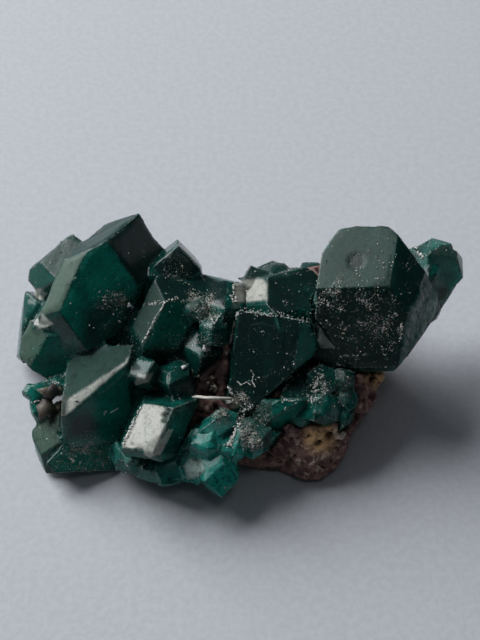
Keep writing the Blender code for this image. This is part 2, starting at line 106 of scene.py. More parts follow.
def soft_noise(points: Floats, size: float, seed: int) -> Floats:
    """Smooth noise from -1 to 1.

    Corner values of a cubic lattice are blended by the weights
    6 t^5 - 15 t^4 + 10 t^3 along each axis.

    Args:
        points: N points, in the units of size.
        size: Pitch of the lattice.
        seed: Picks the pattern.

    Returns:
        N values.
    """
    scaled = points / size
    base = np.floor(scaled)
    t = scaled - base
    weight = t * t * t * (t * (t * 6.0 - 15.0) + 10.0)
    cells = base.astype(np.int64)
    total = np.zeros(len(points))
    for corner in product((0, 1), repeat=3):
        share = np.prod(np.where(np.array(corner) == 1, weight, 1.0 - weight), axis=1)
        total += share * cell_value(cells + np.array(corner), seed)
    return total * 2.0 - 1.0


def rough_noise(points: Floats, size: float, seed: int, octaves: int = 4) -> Floats:
    """Sum of soft noises, each half the size and about half the height of the last.

    Args:
        points: N points.
        size: Size of the largest lumps.
        seed: Picks the pattern.
        octaves: Number of noises summed.

    Returns:
        N values, mostly between -1 and 1.
    """
    total = np.zeros(len(points))
    height = 1.0
    for step in range(octaves):
        total += height * soft_noise(points + 17.3 * step, size / 2 ** step, seed + step)
        height *= 0.55
    return total / 1.6


def pores(points: Floats, size: float, seed: int) -> tuple[Floats, Floats]:
    """Distance to the nearest of many scattered seeds, one seed to a lattice cell.

    Args:
        points: N points.
        size: Pitch of the lattice.
        seed: Picks the pattern.

    Returns:
        The N distances as a share of size, and the N numbers, 0 to 1, of the
        nearest seeds.
    """
    scaled = points / size
    home = np.floor(scaled).astype(np.int64)
    nearest = np.full(len(points), 9.0)
    number = np.zeros(len(points))
    for shift in product((-1, 0, 1), repeat=3):
        cells = home + np.array(shift)
        spot = cells + np.stack([cell_value(cells, seed + k) for k in (1, 2, 3)], axis=1)
        distance = np.linalg.norm(scaled - spot, axis=1)
        closer = distance < nearest
        nearest = np.where(closer, distance, nearest)
        number = np.where(closer, cell_value(cells, seed + 4), number)
    return nearest, number


def ease(values: Floats, low: float, high: float) -> Floats:
    """Rise smoothly from 0 at low to 1 at high, by 3 t^2 - 2 t^3."""
    t = np.clip((values - low) / (high - low), 0.0, 1.0)
    return t * t * (3.0 - 2.0 * t)


def outline_distance(spots: Floats, outline: Sequence[Pixel]) -> Floats:
    """Distance from flat points to a closed outline, positive inside it.

    The distance is the least of those to the outline's straight sides; a
    point is inside where a ray along +x crosses the sides an odd number of
    times.

    Args:
        spots: N flat points.
        outline: Corners of the outline, in order.

    Returns:
        N signed distances.
    """
    corners = np.array(outline, dtype=float)
    ends = np.roll(corners, -1, axis=0)
    best = np.full(len(spots), np.inf)
    inside = np.zeros(len(spots), dtype=bool)
    for a, b in zip(corners, ends):
        side = b - a
        t = np.clip(((spots - a) @ side) / max(side @ side, 1e-9), 0.0, 1.0)
        best = np.minimum(best, np.linalg.norm(spots - a - t[:, None] * side, axis=1))
        crosses = (a[1] > spots[:, 1]) != (b[1] > spots[:, 1])
        rise = b[1] - a[1] if b[1] != a[1] else 1e-9
        inside ^= crosses & (spots[:, 0] < a[0] + (spots[:, 1] - a[1]) / rise * side[0])
    return np.where(inside, best, -best)


def fetched(source: bpy.types.bpy_prop_collection, key: str, width: int = 1) -> Floats:
    """Read one property of every item into an array.

    Args:
        source: The items, such as a mesh's vertices.
        key: Name of the property.
        width: How many numbers an item has.

    Returns:
        One number, or one row of numbers, per item.
    """
    flat = np.empty(len(source) * width, dtype=np.float32)
    source.foreach_get(key, flat)
    return (flat.reshape(-1, width) if width > 1 else flat).astype(float)


def edge_ends(mesh: bpy.types.Mesh) -> Ints:
    """Numbers of the two vertices of every edge."""
    flat = np.empty(len(mesh.edges) * 2, dtype=np.int32)
    mesh.edges.foreach_get("vertices", flat)
    return flat.reshape(-1, 2)


def placed(name: str, data: bpy.types.ID | None) -> bpy.types.Object:
    """Make an object at the origin and link it to the scene."""
    item = bpy.data.objects.new(name, data)
    bpy.context.scene.collection.objects.link(item)
    return item


# --------------------------------------------------------------------------
# View
# --------------------------------------------------------------------------

@dataclass
class Viewpoint:
    """Camera that looks down on the specimen from the front.

    Columns and rows are counted in an image of 480 by 640.
    """

    target: Colour = (0.55, 2.95, 10.0)
    distance: float = 150.0
    elevation: float = 52.0
    lens: float = 84.375
    sensor: float = 36.0
    columns: int = 480
    rows: int = 640

    def axes(self) -> tuple[Floats, Floats, Floats]:
        """Right, up and backward directions of the camera."""
        lift = math.radians(self.elevation)
        right = np.array((1.0, 0.0, 0.0))
        up = np.array((0.0, math.sin(lift), math.cos(lift)))
        back = np.array((0.0, -math.cos(lift), math.sin(lift)))
        return right, up, back

    def place(self) -> Floats:
        """Place of the camera."""
        return np.array(self.target) + self.distance * self.axes()[2]

    def seen(self, points: Floats) -> Floats:
        """Columns and rows at which points appear.

        Args:
            points: N points in millimetres.

        Returns:
            N pairs of column and row.
        """
        right, up, back = self.axes()
        away = points - self.place()
        depth = -(away @ back)
        scale = self.rows * self.lens / self.sensor / depth
        return np.stack([self.columns / 2 + away @ right * scale,
                         self.rows / 2 - away @ up * scale], axis=1)

    def ray(self, spot: Pixel) -> tuple[Floats, Floats]:
        """Start and direction of the sight line through a column and row."""
        right, up, back = self.axes()
        step = self.sensor / self.lens / self.rows
        way = ((spot[0] - self.columns / 2) * step * right
               + (self.rows / 2 - spot[1]) * step * up - back)
        return self.place(), way / np.linalg.norm(way)

    def build(self) -> bpy.types.Object:
        """Make the camera and look through it."""
        data = bpy.data.cameras.new("viewpoint")
        data.lens = self.lens
        data.sensor_width = self.sensor
        data.clip_start = 0.001
        camera = placed("viewpoint", data)
        camera.location = Vector(self.place()) * MM
        camera.rotation_euler = (math.radians(90.0 - self.elevation), 0.0, 0.0)
        bpy.context.scene.camera = camera
        return camera


class Solids:
    """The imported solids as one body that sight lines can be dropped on."""

    def __init__(self, names: Iterable[str], view: Viewpoint) -> None:
        """Join the named solids in one search tree, in millimetres."""
        self.view = view
        shell = bmesh.new()
        for name in names:
            shell.from_mesh(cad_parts[name].data)
        bmesh.ops.scale(shell, vec=(1 / MM,) * 3, verts=shell.verts)
        self.tree = BVHTree.FromBMesh(shell)
        shell.free()

    def hit(self, spot: Pixel) -> tuple[Floats, Floats]:
        """First surface point on a sight line, and the surface's normal there.

        Args:
            spot: Column and row of the sight line.

        Returns:
            The point and the outward normal.
        """
        landed = self.drop(spot)
        if landed is None:
            raise ValueError(f"nothing is seen at {spot}")
        return landed

    def drop(self, spot: Pixel) -> tuple[Floats, Floats] | None:
        """As hit, but None where the sight line meets nothing."""
        start, way = self.view.ray(spot)
        point, normal, _, _ = self.tree.ray_cast(Vector(start), Vector(way))
        return None if point is None else (np.array(point), np.array(normal))


# --------------------------------------------------------------------------
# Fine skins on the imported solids
# --------------------------------------------------------------------------

class Skin:
    """Fine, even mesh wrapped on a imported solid, with numbers for every vertex."""

    def __init__(self, node: bpy.types.Object, name: str, grain: float) -> None:
        """Wrap the solid.

        Args:
            node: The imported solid.
            name: Name of the new piece.
            grain: Side of the mesh squares.
        """
        self.name = name
        base = self._base(node)
        self.mesh = self._wrapped(base, grain)
        count = len(self.mesh.vertices)
        self.points = fetched(self.mesh.vertices, "co", 3)
        self.edges = edge_ends(self.mesh)
        self.share = 1.0 / np.maximum(np.bincount(self.edges.ravel(), minlength=count), 1)
        self.normals = self.read_normals()
        self.fields: dict[str, Floats] = {}

    @staticmethod
    def _base(node: bpy.types.Object) -> bpy.types.Object:
        """Copy of the solid in millimetres, with its loose triangles merged."""
        shell = bmesh.new()
        shell.from_mesh(node.data)
        bmesh.ops.scale(shell, vec=(1 / MM,) * 3, verts=shell.verts)
        bmesh.ops.remove_doubles(shell, verts=shell.verts, dist=1e-4)
        mesh = bpy.data.meshes.new("base")
        shell.to_mesh(mesh)
        shell.free()
        return placed("base", mesh)

    @staticmethod
    def _wrapped(base: bpy.types.Object, grain: float) -> bpy.types.Mesh:
        """Even squares over the base, each corner drawn back on to its faces."""
        cover = base.copy()
        cover.data = base.data.copy()
        bpy.context.scene.collection.objects.link(cover)
        squares = cover.modifiers.new("squares", 'REMESH')
        squares.mode = 'VOXEL'
        squares.voxel_size = grain
        squares.use_smooth_shade = True
        draw = cover.modifiers.new("draw", 'SHRINKWRAP')
        draw.target = base
        draw.wrap_method = 'NEAREST_SURFACEPOINT'
        bpy.context.view_layer.update()
        graph = bpy.context.evaluated_depsgraph_get()
        mesh = bpy.data.meshes.new_from_object(cover.evaluated_get(graph))
        for item in (cover, base):
            old = item.data
            bpy.data.objects.remove(item, do_unlink=True)
            bpy.data.meshes.remove(old)
        Skin._drop_cubes(mesh)
        return mesh

    @staticmethod
    def _drop_cubes(mesh: bpy.types.Mesh) -> None:
        """Take out stray single cubes, whose corners all join three edges."""
        edges = edge_ends(mesh)
        one, other = edges.T
        joined = np.bincount(edges.ravel(), minlength=len(mesh.vertices))
        most = joined.copy()
        np.maximum.at(most, one, joined[other])
        np.maximum.at(most, other, joined[one])
        stray = np.flatnonzero(most == CUBE_EDGES)
        if len(stray):
            shell = bmesh.new()
            shell.from_mesh(mesh)
            shell.verts.ensure_lookup_table()
            bmesh.ops.delete(shell, geom=[shell.verts[k] for k in stray], context='VERTS')
            shell.to_mesh(mesh)
            shell.free()

    def read_normals(self) -> Floats:
        """Normals of the vertices of the mesh as it stands."""
        return fetched(self.mesh.vertex_normals, "vector", 3)

    def write_points(self) -> None:
        """Put the points into the mesh and read the new normals."""
        self.mesh.vertices.foreach_set("co", self.points.astype(np.float32).ravel())
        self.mesh.update()
        self.normals = self.read_normals()

    def spread(self, values: Floats, rounds: int) -> Floats:
        """Blend values with those of the neighbours.

        Each round gives every vertex half its own value and half the mean of
        the vertices it is joined to.

        Args:
            values: One number, or one row of numbers, per vertex.
            rounds: Number of rounds.

        Returns:
            The blended values.
        """
        one, other = self.edges.T
        count = len(self.share)
        columns = values.reshape(count, -1).T.copy()
        for _ in range(rounds):
            for number, column in enumerate(columns):
                total = (np.bincount(one, weights=column[other], minlength=count)
                         + np.bincount(other, weights=column[one], minlength=count))
                columns[number] = 0.5 * column + 0.5 * total * self.share
        return columns.T.reshape(values.shape)

    def rounded(self, rounds: int) -> Floats:
        """Points after the given rounds of Blender's own smoothing."""
        item = placed("rounded", self.mesh)
        smooth = item.modifiers.new("smooth", 'SMOOTH')
        smooth.factor = 0.5
        smooth.iterations = rounds
        bpy.context.view_layer.update()
        shaped = item.evaluated_get(bpy.context.evaluated_depsgraph_get()).data
        points = fetched(shaped.vertices, "co", 3)
        bpy.data.objects.remove(item, do_unlink=True)
        return points

    def bulge(self, rounds: int) -> Floats:
        """How far each vertex stands out of its blended surroundings, in millimetres."""
        return np.sum((self.points - self.rounded(rounds)) * self.normals, axis=1)

    def finish_mesh(self, material: bpy.types.Material) -> bpy.types.Object:
        """Write the fields, bring the mesh to metres and make the piece.

        Args:
            material: The finish of the piece.

        Returns:
            The new object, at the origin.
        """
        for label, values in self.fields.items():
            if values.ndim == 1:
                made = self.mesh.attributes.new(label, 'FLOAT', 'POINT')
                made.data.foreach_set("value", values.astype(np.float32))
            else:
                made = self.mesh.attributes.new(label, 'FLOAT_COLOR', 'POINT')
                made.data.foreach_set("color", values.astype(np.float32).ravel())
        self.mesh.transform(Matrix.Scale(MM, 4))
        self.mesh.name = self.name
        self.mesh.materials.clear()
        self.mesh.materials.append(material)
        self.mesh.shade_smooth()
        return placed(self.name, self.mesh)


# --------------------------------------------------------------------------
# Node recipes
# --------------------------------------------------------------------------

Socket = bpy.types.NodeSocket
Feed = "Socket | float"


class Recipe:
    """Node tree of one material, written as a chain of small steps."""

    def __init__(self, name: str) -> None:
        """Start a material with one Principled shader."""
        self.material = bpy.data.materials.new(name)
        self.material.use_nodes = True
        self.tree = self.material.node_tree
        self.shader = self.tree.nodes["Principled BSDF"]
        self.output = self.tree.nodes["Material Output"]
        self.place = self.node("ShaderNodeTexCoord").outputs["Object"]

    def node(self, kind: str, **settings: object) -> bpy.types.Node:
        """Add a node and set its properties."""
        made = self.tree.nodes.new(kind)
        for key, value in settings.items():
            setattr(made, key, value)
        return made

    def feed(self, socket: Socket, value: object) -> None:
        """Link a socket to a node socket, or set it to a plain value."""
        if isinstance(value, bpy.types.NodeSocket):
            self.tree.links.new(value, socket)
        elif isinstance(value, tuple) and len(value) == 3 and socket.type == 'RGBA':
            socket.default_value = (*value, 1.0)
        else:
            socket.default_value = value

    def stretched(self, scale: tuple[float, float, float]) -> Socket:
        """Object coordinates, each axis multiplied by its own number."""
        made = self.node("ShaderNodeMapping")
        self.feed(made.inputs["Vector"], self.place)
        made.inputs["Scale"].default_value = scale
        return made.outputs["Vector"]

    def noise(self, size: float, detail: float = 4.0, rough: float = 0.55,
              warp: float = 0.0, place: Socket | None = None) -> Socket:
        """Fractal noise from 0 to 1 whose largest lumps are size millimetres."""
        made = self.node("ShaderNodeTexNoise")
        self.feed(made.inputs["Vector"], place or self.place)
        made.inputs["Scale"].default_value = 1.0 / (size * MM)
        made.inputs["Detail"].default_value = detail
        made.inputs["Roughness"].default_value = rough
        made.inputs["Distortion"].default_value = warp
        return made.outputs["Fac"]

    def glint_cells(self, size: float) -> Socket:
        """One random number per straight-edged cell of about size millimetres, for painted glints.
        """
        made = self.node("ShaderNodeTexVoronoi", feature="F1")
        self.feed(made.inputs["Vector"], self.stretched((1.0, 0.55, 0.75)))
        made.inputs["Scale"].default_value = 1.0 / (size * MM)
        return made.outputs["Color"]

    def attribute(self, label: str, output: str = "Fac") -> Socket:
        """Numbers or colours that the mesh carries."""
        return self.node("ShaderNodeAttribute", attribute_name=label).outputs[output]

    def maths(self, operation: str, a: object, b: object = 0.0) -> Socket:
        """One arithmetic step."""
        made = self.node("ShaderNodeMath", operation=operation)
        self.feed(made.inputs[0], a)
        self.feed(made.inputs[1], b)
        return made.outputs[0]

    def ranged(self, value: Socket, low: float, high: float, to_low: float = 0.0,
               to_high: float = 1.0) -> Socket:
        """Smooth rise from to_low to to_high while value goes from low to high."""
        made = self.node("ShaderNodeMapRange", interpolation_type='SMOOTHSTEP')
        self.feed(made.inputs["Value"], value)
        made.inputs["From Min"].default_value = low
        made.inputs["From Max"].default_value = high
        made.inputs["To Min"].default_value = to_low
        made.inputs["To Max"].default_value = to_high
        return made.outputs["Result"]

    def blend(self, share: object, a: object, b: object) -> Socket:
        """Colour that goes from a to b as share goes from 0 to 1."""
        made = self.node("ShaderNodeMix", data_type='RGBA', clamp_factor=True)
        self.feed(made.inputs[0], share)
        self.feed(made.inputs[6], a)
        self.feed(made.inputs[7], b)
        return made.outputs[2]

    def between(self, share: object, a: object, b: object) -> Socket:
        """Number that goes from a to b as share goes from 0 to 1."""
        made = self.node("ShaderNodeMix", data_type='FLOAT', clamp_factor=True)
        self.feed(made.inputs[0], share)
        self.feed(made.inputs[2], a)
        self.feed(made.inputs[3], b)
        return made.outputs[0]

    def bump(self, height: Socket, depth: float, strength: float = 1.0,
             under: Socket | None = None) -> Socket:
        """Relief of the given depth in millimetres, laid over another relief."""
        made = self.node("ShaderNodeBump")
        self.feed(made.inputs["Height"], height)
        made.inputs["Distance"].default_value = depth * MM
        made.inputs["Strength"].default_value = strength
        if under is not None:
            self.feed(made.inputs["Normal"], under)
        return made.outputs["Normal"]

    def set(self, name: str, value: object) -> None:
        """Set or link one socket of the Principled shader."""
        self.feed(self.shader.inputs[name], value)


@dataclass(frozen=True)
class GlassyDioptase:
    """Deep green crystal with cloudy veils, painted glints, dust flecks and pale
    edges that are partly chipped and partly a painted highlight.

    The mesh carries: tone, a colour with its weight, on some faces and stained
    patches a painted reflection, highlight, glow or shade; gloss, the roughness
    of the bare face; dust; edge, how sharp the edge at a point is; clear, how
    far the body is emerald and not dark.
    """

    name: str
    deep: Colour = (0.003, 0.026, 0.021)
    body: Colour = (0.007, 0.090, 0.072)
    bright: Colour = (0.010, 0.280, 0.215)
    # Pale edge colour: partly chipped crystal, partly a painted highlight along the edges.
    nick: Colour = (0.27, 0.34, 0.30)
    fleck: Colour = (0.66, 0.64, 0.56)
    rust: Colour = (0.16, 0.115, 0.075)
    transmission: float = 0.35
    ior: float = 1.67
    sheen: float = 0.05

    def material(self) -> bpy.types.Material:
        """Make the material."""
        r = Recipe(self.name)
        cloud = r.noise(2.0, 3.0, 0.6, 0.8)
        mottle = r.noise(0.8, 5.0, 0.7, 1.5)
        grit = r.noise(0.15, 2.0, 0.85)
        clear = r.maths("MULTIPLY", r.attribute("clear"), r.ranged(mottle, 0.30, 0.62, 0.35, 1.35))
        dark = r.blend(r.ranged(cloud, 0.38, 0.64), self.deep, self.body)
        green = r.blend(clear, dark, self.bright)
        toned = r.blend(r.attribute("tone", "Alpha"), green, r.attribute("tone", "Color"))
        # Painted glints: straight-edged cells are lightened towards bright emerald, as light
        # caught inside the crystal.
        glint_share = r.ranged(r.glint_cells(1.1), 0.55, 1.0, 0.0, 0.10)
        lit = r.blend(r.maths("MULTIPLY", glint_share, cloud), toned, self.bright)
        mottled = r.blend(r.ranged(mottle, 0.30, 0.56, 0.55, 0.0), lit, self.deep)
        # Pale edges: partly chips, partly a painted highlight along the ridges.
        chipped_and_highlit_edge = r.maths("MULTIPLY", r.attribute("edge"), r.ranged(mottle, 0.41, 0.53))
        edged = r.blend(chipped_and_highlit_edge, mottled, self.nick)
        level = r.maths("ADD", grit, r.maths("MULTIPLY", r.attribute("dust"), 0.24))
        film = r.ranged(level, 0.722, 0.757)
        pale = r.blend(r.ranged(cloud, 0.40, 0.56), self.rust, self.fleck)
        r.set("Base Color", r.blend(film, edged, pale))
        r.set("Roughness", r.between(r.maths("MAXIMUM", film, chipped_and_highlit_edge), r.attribute("gloss"), 0.8))
        r.set("IOR", self.ior)
        r.set("Specular IOR Level", self.sheen)
        r.set("Transmission Weight", self.transmission)
        relief = r.maths("ADD", mottle, r.maths("MULTIPLY", grit, 0.35))
        r.set("Normal", r.bump(relief, 0.045, 0.6))
        return r.material


@dataclass(frozen=True)
class PorousStone:
    """Dull reddish brown rock with ochre, cream and purple zones, and painted shade in its pores,
    crevices and hollows.
    """

    name: str = "porous_stone"
    brown: Colour = (0.30, 0.17, 0.145)
    red: Colour = (0.55, 0.36, 0.30)
    purple: Colour = (0.10, 0.050, 0.058)
    cream: Colour = (0.85, 0.74, 0.60)
    ochre: Colour = (0.80, 0.50, 0.24)
    # Near-black of the painted shade in pores, crevices and hollows.
    inside: Colour = (0.016, 0.010, 0.009)
    grime: Colour = (0.03, 0.018, 0.016)

    def material(self) -> bpy.types.Material:
        """Make the material."""
        r = Recipe(self.name)
        zone = r.noise(3.0, 3.0, 0.6, 0.8)
        mottle = r.noise(0.7, 6.0, 0.68, 0.5)
        grit = r.noise(0.18, 4.0, 0.75)
        pores_and_shade = r.attribute("pores_and_shade")
        ochre = r.attribute("ochre")
        cream = r.attribute("cream")
        ground = r.blend(r.ranged(zone, 0.38, 0.64), self.purple, self.brown)
        ground = r.blend(r.ranged(mottle, 0.45, 0.68), ground, self.red)
        ground = r.blend(r.ranged(r.maths("ADD", mottle, r.maths("MULTIPLY", cream, 0.35)),
                                  0.62, 0.82), ground, self.cream)
        ground = r.blend(r.maths("MULTIPLY", ochre, r.ranged(mottle, 0.30, 0.55)),
                         ground, self.ochre)
        # Painted shade: pores, crevices and hollows go towards near-black.
        ground = r.blend(r.maths("MULTIPLY", pores_and_shade, 0.75), ground, self.inside)
        r.set("Base Color", r.blend(r.ranged(grit, 0.35, 0.62, 0.35, 0.0), ground, self.grime))
        r.set("Roughness", 0.92)
        r.set("Specular IOR Level", 0.25)
        r.set("Normal", r.bump(grit, 0.10, 0.8, r.bump(mottle, 0.22, 0.7)))
        return r.material


@dataclass(frozen=True)
class Powder:
    """Opaque mineral dust whose colour each grain carries."""

    name: str = "mineral_dust"
    roughness: float = 0.55
    grime: Colour = (0.10, 0.10, 0.09)

    def material(self) -> bpy.types.Material:
        """Make the material."""
        r = Recipe(self.name)
        grain = r.noise(0.05, 2.0, 0.6)
        soiled = r.ranged(grain, 0.3, 0.7, 0.35, 0.0)
        r.set("Base Color", r.blend(soiled, r.attribute("tone", "Color"), self.grime))
        r.set("Roughness", self.roughness)
        return r.material


@dataclass(frozen=True)
class PlantFibre:
    """Pale dry fibre with fine lengthwise streaks."""

    name: str = "pale_fibre"
    colour: Colour = (0.90, 0.87, 0.80)
    streaks: Colour = (0.70, 0.62, 0.50)

    def material(self) -> bpy.types.Material:
        """Make the material."""
        r = Recipe(self.name)
        streak = r.noise(0.5, 3.0, 0.6, 0.0, r.stretched((0.2, 3.0, 3.0)))
        r.set("Base Color", r.blend(r.ranged(streak, 0.35, 0.65), self.colour, self.streaks))
        r.set("Roughness", 0.5)
        return r.material


# --------------------------------------------------------------------------
# Faces that have a look of their own
# --------------------------------------------------------------------------

class Tone(Enum):
    """Colours that a crystal face, or a patch of colour on it, can have; some stand for painted
    reflections, highlights, glow or shade.
    """

    # Near-black green; on the pit and hollow patches it is painted shade.
    DARK = (0.002, 0.014, 0.012)
    DEEP = (0.003, 0.040, 0.032)
    EMERALD = (0.004, 0.110, 0.078)
    TEAL = (0.006, 0.215, 0.160)
    ETCHED = (0.035, 0.080, 0.062)
    WORN = (0.110, 0.180, 0.130)
    # Pale mint, a painted highlight on a facet that catches the light.
    MINT_HIGHLIGHT = (0.550, 0.750, 0.680)
    # Whitish; on the mirror facets and the bright strip it is a painted reflection.
    PALE = (0.650, 0.650, 0.580)
    CRUST = (0.420, 0.360, 0.270)
    RUST = (0.050, 0.042, 0.032)


class Sort(Enum):
    """How far along the normal a step in a face goes."""

    RAISED = 1.0
    SUNK = -1.0


@dataclass
class Step:
    """Part of a face that stands higher or lower than the rest of it.

    With beyond set, the part is everything outside the outline.
    """

    outline: Sequence[Pixel]
    height: float
    sort: Sort = Sort.RAISED
    edge: float = 1.2
    beyond: bool = False


@dataclass
class Shell:
    """Curved ripples of a glassy fracture, spreading from a point."""

    start: Pixel
    pitch: float
    depth: float


@dataclass
class StainOrPaintedLight:
    """Stretch of surface, whichever faces it crosses, with a colour of its own: a real stained
    patch, or a painted reflection, highlight or shade.
    """

    outline: Sequence[Pixel]
    tone: Tone
    weight: float = 0.8
    gloss: float = 0.5
    dust: float = 0.0
    soft: float = 1.5
    reach: float = 6.0


@dataclass
class Face:
    """One crystal face, found by a point that is seen on it.

    gloss is its bare roughness; dust and clear are added to those of the
    body.  grooves gives two points on a line that the grooves follow, their
    pitch and their depth.
    """

    name: str
    seen_at: Pixel
    # Colour of the face; on some faces a painted reflection or glow.
    tone: Tone = Tone.ETCHED
    gloss: float = 0.12
    dust: float = 0.0
    clear: float = 0.0
    reach: float = 9.0
    grooves: tuple[Pixel, Pixel, float, float] | None = None
    pitting: float = 0.0
    steps: Sequence[Step] = ()
    shell: Shell | None = None


@dataclass
class Patch:
    """Round stretch of dust, or of clear crystal, where it is seen."""

    seen_at: Pixel
    radius: float
    amount: float

    def over(self, seen: Floats, core: float) -> Floats:
        """Amount at every vertex, full within core times the radius, none past the radius."""
        near = np.linalg.norm(seen - np.array(self.seen_at), axis=1)
        return self.amount * ease(-near, -self.radius, -self.radius * core)


@dataclass
class CrystalGroup:
    """Crystals grown into one another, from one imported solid."""

    node: str
    piece: str
    slot: str
    finish: GlassyDioptase
    grain: float = 0.11
    seed: int = 1
    chip: float = 0.55
    blunt: float = 0.95
    faces: Sequence[Face] = ()
    dust: Sequence[Patch] = ()
    clear: Sequence[Patch] = ()
    stains_and_painted_light: Sequence[StainOrPaintedLight] = ()

    def build(self, view: Viewpoint, solids: Solids) -> bpy.types.Object:
        """Wrap, carve, colour and place the group.

        Args:
            view: The camera that columns and rows belong to.
            solids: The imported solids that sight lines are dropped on.

        Returns:
            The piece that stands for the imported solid.
        """
        skin = Skin(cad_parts[self.node], self.piece, self.grain)
        flat = skin.points.copy()
        facing = skin.normals.copy()
        seen = view.seen(flat)
        masks = [self.mask(face, flat, facing, solids, skin) for face in self.faces]
        self.carve(skin, masks, seen)
        self.colour(skin, masks, facing, seen)
        self.stain(skin, flat, facing @ view.axes()[2], seen, solids)
        item = skin.finish_mesh(self.finish.material())
        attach(item, ROOT)
        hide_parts(self.node)
        log.info("%s: %d vertices", self.piece, len(flat))
        return item

    @staticmethod
    def mask(face: Face, flat: Floats, facing: Floats, solids: Solids, skin: Skin) -> Floats:
        """Share, 0 to 1, to which each vertex belongs to a face.

        A vertex belongs where its normal is close to the face's, and it lies
        near the face's plane and within reach of the point.

        Args:
            face: The face.
            flat: Vertices before they are carved.
            facing: Their normals.
            solids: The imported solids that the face's point is dropped on.
            skin: The skin that the vertices belong to.

        Returns:
            One share per vertex.
        """
        point, normal = solids.hit(face.seen_at)
        away = flat - point
        near = np.abs(away @ normal) < FACE_DEPTH
        like = facing @ normal > math.cos(math.radians(FACE_ANGLE))
        reach = np.linalg.norm(away, axis=1) < face.reach
        return skin.spread((near & like & reach).astype(float), 2)

    def rounds(self, reach: float) -> int:
        """Rounds of smoothing that blend the skin over the given distance."""
        return max(2, round((reach / self.grain) ** 2))

    def carve(self, skin: Skin, masks: list[Floats], seen: Floats) -> None:
        """Wear the edges, then cut grooves, pits and steps into the faces.

        Edges move towards a little blended and a widely blended surface by
        shares that noise sets, so some stretches stay sharp, some are nicked
        and some are blunt.
        """
        points = skin.points
        worn = skin.rounded(self.rounds(WEAR))
        round_off = skin.rounded(self.rounds(ROUND_OFF))
        nick = ease(rough_noise(points, 1.1, self.seed + 20, 3), 0.02, 0.45)
        bite = ease(rough_noise(points, 0.45, self.seed + 24, 2), 0.15, 0.6)
        blunt = ease(rough_noise(points, 3.0, self.seed + 26, 3), -0.10, 0.50)
        share = self.chip * (0.18 + 0.9 * nick + 0.6 * bite * nick)
        moved = points + (worn - points) * share[:, None]
        inward = ease(-np.sum((round_off - worn) * skin.normals, axis=1), 0.0, 0.08)
        moved += (round_off - worn) * (self.blunt * (0.2 + 0.8 * blunt) * inward)[:, None]
        lift = 0.012 * rough_noise(points, 1.6, self.seed + 30, 3)
        for face, held in zip(self.faces, masks):
            if face.grooves:
                start, end, pitch, depth = face.grooves
                lift += held * self.grooved(points, start, end, pitch, depth, seen)
            if face.pitting:
                lift += held * face.pitting * self.pitted(points)
            if face.shell:
                lift += held * self.rippled(points, seen, face.shell)
            for step in face.steps:
                inside = ease(outline_distance(seen, step.outline), -step.edge, step.edge)
                part = 1.0 - inside if step.beyond else inside
                lift += held * part * step.height * step.sort.value
        skin.points = moved + skin.normals * lift[:, None]
        skin.write_points()

    def grooved(self, points: Floats, start: Pixel, end: Pixel, pitch: float, depth: float,
                seen: Floats) -> Floats:
        """Ridges along a line: noise stretched forty times along it.

        Args:
            points: Vertices, which vary the ridges along their length.
            start: Column and row of one end of the line.
            end: Column and row of the other end.
            pitch: Width of the ridges.
            depth: Height of the ridges.
            seen: Column and row of each vertex.

        Returns:
            Height of each vertex over the flat face.
        """
        line = np.array(end) - np.array(start)
        line = line / np.linalg.norm(line)
        across = (seen @ np.array((-line[1], line[0]))) * PIXEL_MM
        along = (seen @ line) * PIXEL_MM
        place = np.stack([across, along / 40.0 * pitch, np.zeros(len(seen))], axis=1)
        return depth * (soft_noise(place, pitch, self.seed + 40)
                        + 0.5 * soft_noise(place, pitch * 0.45, self.seed + 41))

    def pitted(self, points: Floats) -> Floats:
        """Etched relief: shallow pits about 0.5 mm wide and finer ones between."""
        wide, _ = pores(points, 0.8, self.seed + 50)
        fine, _ = pores(points, 0.35, self.seed + 51)
        return 0.05 * (ease(wide, 0.1, 0.5) - 1.0) + 0.03 * (ease(fine, 0.1, 0.5) - 1.0)

    def rippled(self, points: Floats, seen: Floats, shell: Shell) -> Floats:
        """Height of shell-like ripples.

        Rings about the starting point, bent by noise, are each a slow rise
        and a quick fall: t - t^6 for t from 0 to 1 across a ring.
        """
        away = np.linalg.norm(seen - np.array(shell.start), axis=1) * PIXEL_MM
        away = away + 0.45 * rough_noise(points, 1.8, self.seed + 45, 2)
        t = np.mod(away / shell.pitch, 1.0)
        swell = rough_noise(points, 2.2, self.seed + 46, 3)
        return shell.depth * ((t - t ** 6) * (0.6 + 0.4 * swell) + 0.8 * swell)

    def stain(self, skin: Skin, flat: Floats, towards: Floats, seen: Floats,
              solids: Solids) -> None:
        """Blend the colour, gloss and dust of every stained or painted-light patch into the
        vertices it covers.
        """
        tone, gloss, dust = (skin.fields[label] for label in ("tone", "gloss", "dust"))
        for stain in self.stains_and_painted_light:
            middle, _ = solids.hit(tuple(np.mean(stain.outline, axis=0)))
            near = (np.linalg.norm(flat - middle, axis=1) < stain.reach) & (towards > 0.0)
            held = near * ease(outline_distance(seen, stain.outline), -stain.soft, stain.soft)
            tone += ((*stain.tone.value, stain.weight) - tone) * held[:, None]
            gloss += (stain.gloss - gloss) * held
            dust[:] = np.clip(dust + stain.dust * held, 0.0, 1.0)

